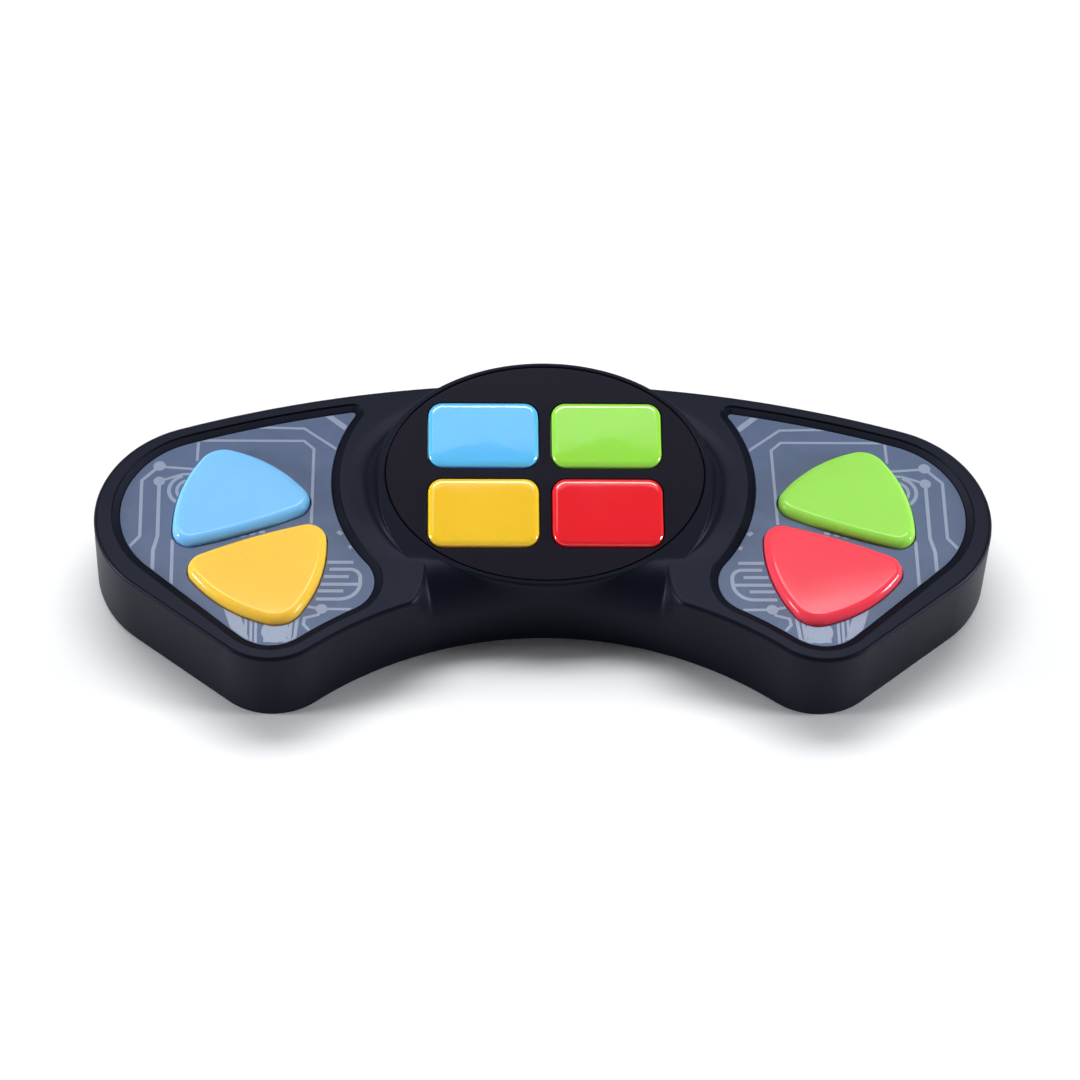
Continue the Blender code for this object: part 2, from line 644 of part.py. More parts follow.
WINDOWS = {
    "blue": (LEFT, WINDOW_TOP_LOW, WINDOW_TOP_HEIGHT),
    "green": (RIGHT, WINDOW_TOP_LOW, WINDOW_TOP_HEIGHT),
    "yellow": (LEFT, WINDOW_LOW_TOP - WINDOW_LOW_HEIGHT, WINDOW_LOW_HEIGHT),
    "red": (RIGHT, WINDOW_LOW_TOP - WINDOW_LOW_HEIGHT, WINDOW_LOW_HEIGHT),
}
KEYS = {"blue": (LEFT, False), "yellow": (LEFT, True), "green": (RIGHT, False), "red": (RIGHT, True)}


def window_outline(colour, grow):
    side, low, height = WINDOWS[colour]
    x = sorted((side * WINDOW_INNER_X, side * (WINDOW_INNER_X + WINDOW_WIDTH)))
    return rounded_rectangle((x[0] - grow, low - grow), (x[1] + grow, low + height + grow), WINDOW_CORNER + grow)


def window_centre(colour):
    side, low, height = WINDOWS[colour]
    return (side * (WINDOW_INNER_X + WINDOW_WIDTH / 2), low + height / 2)


# Front shell with its wing recesses, key holes, display seat, bosses and posts.
def drawn_back(point):
    """A point of the cavity's edge, drawn back from the rolled-over front so that the wall stays as thick there."""
    if point[1] > TIP[1] + TIP_RADIUS and math.dist(point, ARCH) > ARCH_RADIUS + WALL + GAP:
        return point
    share = smooth_step((SHOULDER_X + SHOULDER_FADE - abs(point[0])) / SHOULDER_FADE)
    depth = ROLL_RADIUS - math.sqrt((ROLL_RADIUS - WALL) ** 2 - (CEILING_Z - CASE_HEIGHT + ROLL_RADIUS) ** 2)
    radius = math.dist(point, ARCH) + share * (depth - WALL)
    return polar(ARCH, radius, heading(ARCH, point))


def front_shell(assembly, display, finish):
    shell = place("front_shell", mesh_from(case_blank(), "front_shell"), assembly, finish)
    edge = case_outline(WALL)
    upper = [drawn_back(point) for point in edge]
    levels = [(edge, -OVERRUN), (edge, CASE_HEIGHT - ROLL_RADIUS), (upper, CEILING_Z)]
    cut(shell, loft(levels), "cavity")
    seat = ellipse(DISPLAY_HALF_WIDTH, DISPLAY_HALF_HEIGHT, SEAT_SIDES)
    cut(shell, prism(seat, LEDGE_TOP, OVERRUN), "display_seat", display)
    well = ellipse(WELL_HALF_WIDTH, WELL_HALF_HEIGHT, WELL_SIDES)
    cut(shell, prism(well, LEDGE_LOW - OVERRUN, LEDGE_TOP + OVERRUN), "display_well", display)
    chamber = ellipse(CHAMBER_HALF_WIDTH, CHAMBER_HALF_HEIGHT, WELL_SIDES)
    cut(shell, prism(chamber, CHAMBER_LOW, LEDGE_LOW), "display_chamber", display)
    for side in (LEFT, RIGHT):
        name = "left" if side < 0 else "right"
        floor = wing_outline(side, 0.0)
        band = wing_outline(side, STEP_WIDTH)
        slope_top = CASE_HEIGHT - STEP_DEPTH
        levels = [(floor, RECESS_FLOOR), (floor, INLAY_TOP), (band, slope_top), (band, CASE_HEIGHT + OVERRUN)]
        cut(shell, loft(levels), f"recess_{name}")
    for colour, (side, lower) in KEYS.items():
        cut(shell, prism(key_outline(side, lower, GAP), FLANGE_LOW, CASE_HEIGHT), f"hole_{colour}")
    for side in (LEFT, RIGHT):
        for number, (x, y) in enumerate(SCREW_PLACES, 1):
            name = f"{'left' if side < 0 else 'right'}_{number}"
            at = (side * x, y)
            join(shell, cylinder(at, BOSS_RADIUS, CUP_TOP + GAP, CEILING_Z + CEILING / 2), f"boss_{name}")
            hole_top = SCREW_SINK + SCREW_HEAD_HEIGHT + SCREW_LENGTH + GAP
            cut(shell, cylinder(at, SCREW_RADIUS + GAP, 0.0, hole_top, 8), f"boss_hole_{name}")
        for number, (x, y) in enumerate(KEY_POSTS, 1):
            name = f"{'left' if side < 0 else 'right'}_{number}"
            at = (side * x, y)
            join(shell, cylinder(at, POST_RADIUS, DOME_FOOT, CEILING_Z + CEILING / 2, 10), f"post_{name}")
            hole_top = KEY_BOARD_TOP + SCREW_LENGTH / 2
            cut(shell, cylinder(at, SCREW_RADIUS + GAP, 0.0, hole_top, 8), f"post_hole_{name}")
    return shell


# Back cover with screw cups, battery bay, speaker ring and grille, and the switch's slot.
def back_cover(assembly, finish):
    cover = place("back_cover", mesh_from(prism(case_outline(WALL + GAP), 0.0, COVER_THICKNESS), "back_cover"), assembly, finish)
    outer = BAY_HALF_LENGTH + BAY_WALL
    low = (-outer, BAY_FRONT - BAY_WALL, COVER_THICKNESS / 2)
    join(cover, box(low, (outer, BAY_BACK + BAY_WALL, BAY_ROOF + BAY_WALL)), "bay")
    half_lug = DOOR_LUG_WIDTH / 2
    lug_end = BAY_HALF_LENGTH + DOOR_LUG_LENGTH
    block_top = DOOR_BLOCK_LOW + DOOR_SCREW_ENGAGED + BAY_WALL
    low = (BAY_HALF_LENGTH, BAY_MIDDLE - half_lug - BAY_WALL, COVER_THICKNESS / 2)
    high = (lug_end + GAP + BAY_WALL, BAY_MIDDLE + half_lug + BAY_WALL, block_top)
    join(cover, box(low, high), "lug_block")
    inside = ((-BAY_HALF_LENGTH, BAY_FRONT, -OVERRUN), (BAY_HALF_LENGTH, BAY_BACK, BAY_ROOF))
    cut(cover, box(*inside), "bay_inside")
    low = (BAY_HALF_LENGTH - GAP, BAY_MIDDLE - half_lug - GAP, -OVERRUN)
    cut(cover, box(low, (lug_end + GAP, BAY_MIDDLE + half_lug + GAP, DOOR_BLOCK_LOW)), "lug_seat")
    cut(cover, cylinder(DOOR_SCREW, SCREW_RADIUS + 2 * GAP, 0.0, block_top + OVERRUN, 10), "lug_hole")
    half_tab = DOOR_TAB_WIDTH / 2 + GAP
    tab_top = COVER_THICKNESS + GAP + DOOR_TAB_THICKNESS + 3 * GAP
    for number, y in enumerate((BAY_MIDDLE - DOOR_TAB_PITCH / 2, BAY_MIDDLE + DOOR_TAB_PITCH / 2), 1):
        low = (-BAY_HALF_LENGTH - OVERRUN, y - half_tab, COVER_THICKNESS)
        cut(cover, box(low, (-BAY_HALF_LENGTH + GAP, y + half_tab, tab_top)), f"tab_{number}")
    for side in (LEFT, RIGHT):
        name = "left" if side < 0 else "right"
        for number, (px, py) in enumerate(SCREW_PLACES, 1):
            at = (side * px, py)
            join(cover, cylinder(at, CUP_RADIUS, COVER_THICKNESS / 2, CUP_TOP), f"cup_{name}_{number}")
            seat = SCREW_SINK + SCREW_HEAD_HEIGHT + GAP
            cut(cover, cylinder(at, SCREW_HEAD_RADIUS + GAP, -OVERRUN, seat), f"sink_{name}_{number}")
            cut(cover, cylinder(at, SCREW_RADIUS + GAP, 0.0, CUP_TOP + OVERRUN, 8), f"pass_{name}_{number}")
    ring_inner = SPEAKER_RADIUS + GAP
    ring_outer = ring_inner + SPEAKER_RING_WALL
    ring_low, ring_top = COVER_THICKNESS / 2, COVER_THICKNESS + SPEAKER_RING_HEIGHT
    profile = [(ring_inner, ring_low), (ring_outer, ring_low), (ring_outer, ring_top), (ring_inner, ring_top)]
    join(cover, turned(profile, 20, (0.0, SPEAKER_Y)), "speaker_ring")
    count = int(GRILLE_RADIUS / GRILLE_PITCH)
    for row in range(-count, count + 1):
        y = row * GRILLE_PITCH
        half = math.sqrt(GRILLE_RADIUS**2 - y * y)
        low = (-half, SPEAKER_Y + y - GRILLE_SLOT / 2)
        high = (half, SPEAKER_Y + y + GRILLE_SLOT / 2)
        slot = rounded_rectangle(low, high, GRILLE_SLOT / 2 - GAP / 2, 2)
        cut(cover, prism(slot, -OVERRUN, COVER_THICKNESS + GAP), f"grille_{row + count + 1}")
    half_slot = (KNOB_LENGTH + SWITCH_TRAVEL) / 2 + GAP
    half_wide = KNOB_WIDTH / 2 + GAP
    low = (SWITCH_X - half_slot, SWITCH_Y - half_wide, -OVERRUN)
    cut(cover, box(low, (SWITCH_X + half_slot, SWITCH_Y + half_wide, COVER_THICKNESS + OVERRUN)), "switch_slot")
    return cover


def battery_door(assembly, finish):
    half = BAY_HALF_LENGTH - GAP
    panel = box((-half, BAY_FRONT + GAP, 0.0), (half, BAY_BACK - GAP, DOOR_THICKNESS))
    door = place("battery_door", mesh_from(panel, "battery_door"), assembly, finish)
    half_lug = DOOR_LUG_WIDTH / 2
    low = (half - GAP, BAY_MIDDLE - half_lug, 0.0)
    lug = box(low, (BAY_HALF_LENGTH + DOOR_LUG_LENGTH, BAY_MIDDLE + half_lug, DOOR_LUG_THICKNESS))
    join(door, lug, "lug")
    cut(door, cylinder(DOOR_SCREW, SCREW_RADIUS + GAP, -OVERRUN, DOOR_LUG_THICKNESS + OVERRUN, 8), "screw_pass")
    seat = DOOR_SCREW_SINK + SCREW_HEAD_HEIGHT + GAP
    cut(door, cylinder(DOOR_SCREW, SCREW_HEAD_RADIUS + GAP, -OVERRUN, seat), "screw_seat")
    tab_low = COVER_THICKNESS + GAP
    tab_top = tab_low + DOOR_TAB_THICKNESS
    riser = half - DOOR_TAB_THICKNESS
    reach = BAY_HALF_LENGTH + DOOR_TAB_REACH
    for number, y in enumerate((BAY_MIDDLE - DOOR_TAB_PITCH / 2, BAY_MIDDLE + DOOR_TAB_PITCH / 2), 1):
        profile = [(-riser, DOOR_THICKNESS / 2), (-half, DOOR_THICKNESS / 2), (-half, tab_low)]
        profile += [(-reach, tab_low), (-reach, tab_top), (-riser, tab_top)]
        bm = prism(profile, y - DOOR_TAB_WIDTH / 2, y + DOOR_TAB_WIDTH / 2)
        # The profile is drawn as (x, z) and swept along y.
        for vert in bm.verts:
            vert.co = (vert.co.x, vert.co.z, vert.co.y)
        join(door, bm, f"tab_{number}")
    for row in range(3):
        x = BAY_HALF_LENGTH / 2 + row * CELL_RADIUS / 2
        groove = box((x - GAP, BAY_MIDDLE - CELL_RADIUS, -OVERRUN), (x + GAP, BAY_MIDDLE + CELL_RADIUS, 2 * GAP))
        cut(door, groove, f"grip_{row + 1}")
    return door


# Screws, each turned about its own axis and standing head down.
def screw(name, parent, finish, at, head_low, length):
    head_top = head_low + SCREW_HEAD_HEIGHT
    tip = head_top + length
    profile = [(0.0, head_low), (SCREW_HEAD_RADIUS * 0.7, head_low)]
    profile += [(SCREW_HEAD_RADIUS, head_low + SCREW_HEAD_HEIGHT / 2), (SCREW_HEAD_RADIUS, head_top)]
    profile += [(SCREW_RADIUS, head_top), (SCREW_RADIUS, tip - SCREW_RADIUS), (0.0, tip)]
    return place(name, mesh_from(turned(profile, 8, at), name), parent, finish)


# Display module: plate, windows, light baffle, board and what is soldered on it.
def display_module(display, finishes):
    plate_half = (DISPLAY_HALF_WIDTH - GAP / 2, DISPLAY_HALF_HEIGHT - GAP / 2)
    plate = place("display_plate", mesh_from(prism(ellipse(*plate_half, SEAT_SIDES), PLATE_LOW, -PLATE_SINK), "display_plate"), display, finishes["case"])
    for colour in WINDOWS:
        cut(plate, prism(window_outline(colour, WINDOW_CLEARANCE), PLATE_LOW - OVERRUN, OVERRUN), f"opening_{colour}")
    well = ellipse(WELL_HALF_WIDTH - GAP, WELL_HALF_HEIGHT - GAP, WELL_SIDES)
    for side in (LEFT, RIGHT):
        name = "left" if side < 0 else "right"
        at = (side * MODULE_BOSS_X, 0.0)
        join(plate, cylinder(at, MODULE_BOSS_RADIUS, BAFFLE_LOW, PLATE_LOW + PLATE_THICKNESS / 2, 10), f"boss_{name}")
        half = SNAP_WIDTH / 2
        outer = side * (WELL_HALF_WIDTH - GAP)
        inner = side * (WELL_HALF_WIDTH - GAP - SNAP_THICKNESS)
        hook = side * (WELL_HALF_WIDTH - GAP + SNAP_HOOK)
        hook_top = LEDGE_LOW - GAP
        root = PLATE_LOW + PLATE_THICKNESS / 2
        profile = [(inner, root), (outer, root), (outer, hook_top), (hook, hook_top)]
        profile += [(outer, hook_top - SNAP_HOOK_HEIGHT), (inner, hook_top - SNAP_HOOK_HEIGHT)]
        bm = prism(profile, -half, half)
        # The profile is drawn as (x, depth) and swept along y.
        for vert in bm.verts:
            vert.co = (vert.co.x, vert.co.z, vert.co.y)
        join(plate, bm, f"snap_{name}")
    for side in (LEFT, RIGHT):
        at = (side * MODULE_BOSS_X, 0.0)
        hole = cylinder(at, SCREW_RADIUS + GAP, BAFFLE_LOW - OVERRUN, PLATE_LOW - GAP, 10)
        cut(plate, hole, "boss_hole_left" if side < 0 else "boss_hole_right")

    clip = place("window_clip", mesh_from(prism(well, WINDOW_FLANGE_LOW - OVERRUN, OVERRUN), "clip"), display)
    for colour in WINDOWS:
        name = f"window_{colour}"
        levels = [(window_outline(colour, 0.0), PLATE_LOW)]
        for degrees in (20.0, 50.0, 90.0):
            a = math.radians(degrees)
            rise = WINDOW_EDGE_HEIGHT + (WINDOW_PROUD - WINDOW_EDGE_HEIGHT) * math.sin(a)
            levels.append((window_outline(colour, -WINDOW_ROUNDING * (1.0 - math.cos(a))), rise))
        window = place(name, mesh_from(loft(levels), name), display, finishes[colour])
        flange = prism(window_outline(colour, WINDOW_FLANGE), WINDOW_FLANGE_LOW, WINDOW_FLANGE_TOP)
        rim = place(f"{name}_flange", mesh_from(flange, f"{name}_flange"), display)
        middle = (WINDOW_FLANGE_LOW + WINDOW_FLANGE_TOP) / 2
        join(rim, prism(window_outline(colour, 0.0), middle, PLATE_LOW + GAP), "neck")
        boolean(rim, clip, "INTERSECT")
        boolean(window, rim, "UNION")

    baffle = place("light_baffle", mesh_from(prism(well, BAFFLE_LOW, BAFFLE_TOP), "light_baffle"), display, finishes["baffle"])
    for colour in WINDOWS:
        cell = window_outline(colour, -BAFFLE_WALL * 1.6)
        cut(baffle, prism(cell, BAFFLE_LOW - OVERRUN, BAFFLE_TOP + OVERRUN), f"cell_{colour}")
    for side in (LEFT, RIGHT):
        name = "left" if side < 0 else "right"
        at = (side * MODULE_BOSS_X, 0.0)
        cut(baffle, cylinder(at, MODULE_BOSS_RADIUS + GAP, BAFFLE_LOW - OVERRUN, BAFFLE_TOP + OVERRUN, 10), f"boss_{name}")
        half = SNAP_WIDTH / 2 + GAP
        x = sorted((side * (WELL_HALF_WIDTH - SNAP_THICKNESS - 2 * GAP), side * (WELL_HALF_WIDTH + OVERRUN)))
        cut(baffle, box((x[0], -half, BAFFLE_LOW - OVERRUN), (x[1], half, BAFFLE_TOP + OVERRUN)), f"notch_{name}")

    board_half = (WELL_HALF_WIDTH - BOARD_MARGIN, WELL_HALF_HEIGHT - BOARD_MARGIN)
    board = place("main_board", mesh_from(prism(ellipse(*board_half, WELL_SIDES), MAIN_LOW, MAIN_TOP), "main_board"), display, finishes["board"])
    for side in (LEFT, RIGHT):
        name = "left" if side < 0 else "right"
        at = (side * MODULE_BOSS_X, 0.0)
        cut(board, cylinder(at, SCREW_RADIUS + GAP, MAIN_LOW - OVERRUN, MAIN_TOP + OVERRUN, 8), f"hole_{name}")
        head_low = MAIN_LOW - GAP - SCREW_HEAD_HEIGHT
        screw(f"main_board_screw_{name}", display, finishes["steel"], at, head_low, SCREW_LENGTH)

    for colour in WINDOWS:
        base = MAIN_TOP + GAP
        dome = LED_HEIGHT - LED_RADIUS
        profile = [(0.0, base), (LED_RADIUS * 1.15, base), (LED_RADIUS * 1.15, base + LED_HEIGHT / 5), (LED_RADIUS, base + LED_HEIGHT / 5)]
        for step in range(3):
            a = step * math.pi / 6
            profile.append((LED_RADIUS * math.cos(a), base + dome + LED_RADIUS * math.sin(a)))
        profile.append((0.0, base + LED_HEIGHT))
        place(f"led_{colour}", mesh_from(turned(profile, 8, window_centre(colour)), f"led_{colour}"), display, finishes[colour])

    chip_top = MAIN_LOW - GAP
    chip_y = -WELL_HALF_HEIGHT / 4
    profile = [(0.0, chip_top - CHIP_THICKNESS), (CHIP_RADIUS * 0.6, chip_top - CHIP_THICKNESS * 0.85)]
    profile += [(CHIP_RADIUS, chip_top - CHIP_THICKNESS * 0.3), (CHIP_RADIUS, chip_top), (0.0, chip_top)]
    place("game_chip", mesh_from(turned(profile, 16, (0.0, chip_y)), "game_chip"), display, finishes["epoxy"])
    can = [(0.0, chip_top - CAPACITOR_LENGTH), (CAPACITOR_RADIUS * 0.9, chip_top - CAPACITOR_LENGTH)]
    can += [(CAPACITOR_RADIUS, chip_top - CAPACITOR_LENGTH * 0.92), (CAPACITOR_RADIUS, chip_top), (0.0, chip_top)]
    at = (-CAPACITOR_X, chip_y)
    place("capacitor", mesh_from(turned(can, 12, at), "capacitor"), display, finishes["steel"])


# Wings: printed inlays, thumb keys with their domes, and the key boards.
def wings(assembly, finishes):
    for side in (LEFT, RIGHT):
        name = "left" if side < 0 else "right"
        outline = wing_outline(side, -GAP / 2)
        sheet = prism(outline, INLAY_TOP - INLAY_THICKNESS, INLAY_TOP)
        inlay = place(f"inlay_{name}", mesh_from(sheet, f"inlay_{name}"), assembly, finishes["inlay"])
        for colour, (key_side, lower) in KEYS.items():
            if key_side == side:
                hole = prism(key_outline(side, lower, GAP), INLAY_TOP - OVERRUN, INLAY_TOP + OVERRUN)
                cut(inlay, hole, f"hole_{colour}")
        corners = KEY_BOARD_CORNERS
        points = []
        for k, here in enumerate(corners):
            before, after = corners[k - 1], corners[(k + 1) % len(corners)]
            start = heading(before, here) + math.pi / 2
            end = heading(here, after) + math.pi / 2
            end -= math.tau if end > start else 0.0
            points += arc(here, KEY_BOARD_CORNER_RADIUS, start, end, 4)
        points = points if side > 0 else mirrored(points)
        low = KEY_BOARD_TOP - BOARD_THICKNESS
        board = place(f"key_board_{name}", mesh_from(prism(points, low, KEY_BOARD_TOP), "key_board"), assembly, finishes["board"])
        for number, (x, y) in enumerate(KEY_POSTS, 1):
            at = (side * x, y)
            cut(board, cylinder(at, SCREW_RADIUS + GAP, low - OVERRUN, KEY_BOARD_TOP + OVERRUN, 8), f"hole_{number}")
            head_low = low - GAP - SCREW_HEAD_HEIGHT
            length = BOARD_THICKNESS + GAP + SCREW_LENGTH / 2 - GAP
            screw(f"key_board_screw_{name}_{number}", assembly, finishes["steel"], at, head_low, length)

    for colour, (side, lower) in KEYS.items():
        top = INLAY_TOP + KEY_PROUD
        body = key_outline(side, lower, 0.0)
        flange = key_outline(side, lower, KEY_FLANGE)
        levels = [(flange, FLANGE_LOW), (flange, FLANGE_TOP), (body, FLANGE_TOP + GAP / 10), (body, top - KEY_ROUNDING)]
        for degrees in (35.0, 65.0, 90.0):
            a = math.radians(degrees)
            inset = KEY_ROUNDING * (1.0 - math.cos(a))
            levels.append((key_outline(side, lower, -inset), top - KEY_ROUNDING * (1.0 - math.sin(a))))
        key = place(f"key_{colour}", mesh_from(loft(levels), f"key_{colour}"), assembly, finishes[colour])
        centre = centre_of(body)
        join(key, cylinder(centre, PLUNGER_RADIUS, PLUNGER_LOW, FLANGE_LOW + KEY_FLANGE_THICKNESS / 2, 10), "plunger")
        foot = DOME_FOOT
        crown = foot + DOME_HEIGHT
        profile = [(DOME_FOOT_RADIUS, foot), (DOME_FOOT_RADIUS, foot + DOME_SKIN), (DOME_RADIUS, foot + DOME_SKIN)]
        profile += [(DOME_TOP_RADIUS, crown - DOME_SKIN), (DOME_TOP_RADIUS, crown), (0.0, crown)]
        inside = [(0.0, crown - 2 * DOME_SKIN), (DOME_TOP_RADIUS - DOME_SKIN, crown - 2 * DOME_SKIN), (DOME_RADIUS - DOME_SKIN, foot)]
        place(f"rubber_dome_{colour}", mesh_from(dome_shell(profile, inside, centre), "rubber_dome"), assembly, finishes["rubber"])


def dome_shell(outside, inside, centre, segments=10):
    """A turned cup, open below: the outside profile from its foot to the axis and the inside one back down."""
    bm = bmesh.new()
    rows = []
    for radius, z in outside + inside:
        if radius == 0.0:
            rows.append([bm.verts.new((*centre, z))] * segments)
            continue
        turn = [math.tau * (i + 0.5) / segments for i in range(segments)]
        rows.append([bm.verts.new((*polar(centre, radius, a), z)) for a in turn])
    split = len(outside)
    pairs = list(zip(rows[:split], rows[1:split])) + list(zip(rows[split:], rows[split + 1:])) + [(rows[-1], rows[0])]
    for low, high in pairs:
        for i in range(segments):
            j = (i + 1) % segments
            corners = []
            for corner in (low[i], low[j], high[j], high[i]):
                if corner not in corners:
                    corners.append(corner)
            bm.faces.new(corners)
    return bm


# Battery cells, their contacts, the speaker and the switch.
def cell_along_x(name, parent, finish, y, towards):
    """A cell lying along X with its nub at the end that towards gives."""
    start = -towards * (BAY_HALF_LENGTH - CONTACT_THICKNESS - GAP - CELL_SPRING_SPACE)
    body = [(0.0, 0.0), (CELL_RADIUS, 0.0), (CELL_RADIUS, CELL_LENGTH), (CELL_NUB_RADIUS, CELL_LENGTH)]
    body += [(CELL_NUB_RADIUS, CELL_LENGTH + CELL_NUB), (0.0, CELL_LENGTH + CELL_NUB)]
    bm = turned(body, 16)
    for vert in bm.verts:
        x, up, along = vert.co
        vert.co = (start + towards * along, y + towards * x, CELL_Z + up)
    return place(name, mesh_from(bm, name), parent, finish)


def contact_plate(low, high, name):
    return mesh_from(box(low, high), name)


def coil(name, parent, centre, towards):
    """A conical spring as one tube, wound along X from its plate towards the cell."""
    length = CELL_SPRING_SPACE - 2 * GAP
    path = []
    steps = 10 * SPRING_TURNS
    big, small = CELL_RADIUS * 0.66, CELL_RADIUS * 0.36
    for i in range(steps + 1):
        share = i / steps
        a = math.tau * SPRING_TURNS * share
        radius = big + (small - big) * share
        x = centre[0] + towards * length * share
        path.append((x, centre[1] + radius * math.cos(a), centre[2] + radius * math.sin(a)))
    per_turn = steps // SPRING_TURNS
    pairs = [(a, b) for i, a in enumerate(path) for b in path[i + per_turn // 2:]]
    least = min(math.dist(a, b) for a, b in pairs) - 2 * SPRING_WIRE
    print(f"{name}: least gap of the wire to itself {least / MM:.2f} mm")
    bm = bmesh.new()
    sides = 5
    rings = []
    for i, at in enumerate(path):
        ahead = Vector(path[min(i + 1, steps)]) - Vector(path[max(i - 1, 0)])
        out = Vector((0.0, at[1] - centre[1], at[2] - centre[2])).normalized()
        across = ahead.normalized().cross(out).normalized()
        out = across.cross(ahead.normalized())
        ring = []
        for k in range(sides):
            a = math.tau * k / sides
            ring.append(bm.verts.new(Vector(at) + SPRING_WIRE * (math.cos(a) * out + math.sin(a) * across)))
        rings.append(ring)
    for low, high in zip(rings, rings[1:]):
        for k in range(sides):
            bm.faces.new((low[k], low[(k + 1) % sides], high[(k + 1) % sides], high[k]))
    bm.faces.new(rings[0][::-1])
    bm.faces.new(rings[-1])
    return place(name, mesh_from(bm, name), parent)


def power_parts(assembly, finishes):
    back_row, front_row = CELL_ROWS
    cell_along_x("battery_cell_1", assembly, finishes["cell"], back_row, RIGHT)
    cell_along_x("battery_cell_2", assembly, finishes["cell"], front_row, LEFT)
    half = CELL_RADIUS * 0.8
    wall = BAY_HALF_LENGTH - GAP
    low_z, high_z = CELL_Z - half, CELL_Z + half
    plate = wall - CONTACT_THICKNESS
    left_low = (-wall, 0.0, low_z)

    name = "battery_contact_negative"
    low = (-wall, back_row - half, low_z)
    negative = place(name, contact_plate(low, (-plate, back_row + half, high_z), name), assembly, finishes["steel"])
    spring = coil("negative_coil", assembly, (-plate - SPRING_WIRE / 2, back_row, CELL_Z), RIGHT)
    boolean(negative, spring, "UNION")

    name = "battery_contact_positive"
    low = (left_low[0], front_row - half, low_z)
    place(name, contact_plate(low, (-plate, front_row + half, high_z), name), assembly, finishes["steel"])

    name = "battery_link_contact"
    low = (plate, front_row - half, low_z)
    link = place(name, contact_plate(low, (wall, back_row + half, high_z), name), assembly, finishes["steel"])
    spring = coil("link_coil", assembly, (plate + SPRING_WIRE / 2, front_row, CELL_Z), LEFT)
    boolean(link, spring, "UNION")


def speaker_parts(assembly, finishes):
    low = COVER_THICKNESS + GAP
    top = low + SPEAKER_HEIGHT
    at = (0.0, SPEAKER_Y)
    magnet = SPEAKER_RADIUS * 0.55
    rim = SPEAKER_RADIUS * 0.84
    profile = [(rim, low), (SPEAKER_RADIUS, low), (SPEAKER_RADIUS, low + SPEAKER_HEIGHT * 0.3)]
    profile += [(magnet, low + SPEAKER_HEIGHT * 0.55), (magnet, top), (0.0, top)]
    hollow = [(0.0, low + SPEAKER_HEIGHT * 0.5), (magnet * 0.8, low + SPEAKER_HEIGHT * 0.5), (rim, low + SPEAKER_HEIGHT * 0.22)]
    place("speaker_frame", mesh_from(dome_shell(profile, hollow, at, 18), "speaker_frame"), assembly, finishes["steel"])
    skin = GAP
    edge = rim - GAP
    outer = [(0.0, low + SPEAKER_HEIGHT * 0.24), (magnet * 0.6, low + SPEAKER_HEIGHT * 0.26), (edge, low + skin)]
    inner = [(edge, low), (magnet * 0.6, low + SPEAKER_HEIGHT * 0.26 - skin), (0.0, low + SPEAKER_HEIGHT * 0.24 - skin)]
    place("speaker_cone", mesh_from(turned(inner[::-1] + outer[::-1], 18, at), "speaker_cone"), assembly, finishes["cone"])


def switch_parts(assembly, finishes):
    low = COVER_THICKNESS + GAP
    half_length, half_width = SWITCH_LENGTH / 2, SWITCH_WIDTH / 2
    low_corner = (SWITCH_X - half_length, SWITCH_Y - half_width, low)
    high_corner = (SWITCH_X + half_length, SWITCH_Y + half_width, low + SWITCH_HEIGHT)
    name = "power_switch_body"
    body = place(name, mesh_from(box(low_corner, high_corner), name), assembly, finishes["steel"])
    inner_half = half_length - SWITCH_WALL
    wide = half_width - SWITCH_WALL
    low_corner = (SWITCH_X - inner_half, SWITCH_Y - wide, low - OVERRUN)
    cut(body, box(low_corner, (SWITCH_X + inner_half, SWITCH_Y + wide, low + SLIDER_HEAD + 2 * GAP)), "inside")
    head_half = inner_half - SWITCH_TRAVEL / 2 - GAP
    centre = SWITCH_X - SWITCH_TRAVEL / 2
    head = box((centre - head_half, SWITCH_Y - wide + GAP, low + GAP), (centre + head_half, SWITCH_Y + wide - GAP, low + GAP + SLIDER_HEAD))
    slider = place("power_switch_slider", mesh_from(head, "power_switch_slider"), assembly, finishes["knob"])
    half_knob = KNOB_LENGTH / 2
    low_corner = (centre - half_knob, SWITCH_Y - KNOB_WIDTH / 2, GAP)
    join(slider, box(low_corner, (centre + half_knob, SWITCH_Y + KNOB_WIDTH / 2, low + SLIDER_HEAD)), "knob")


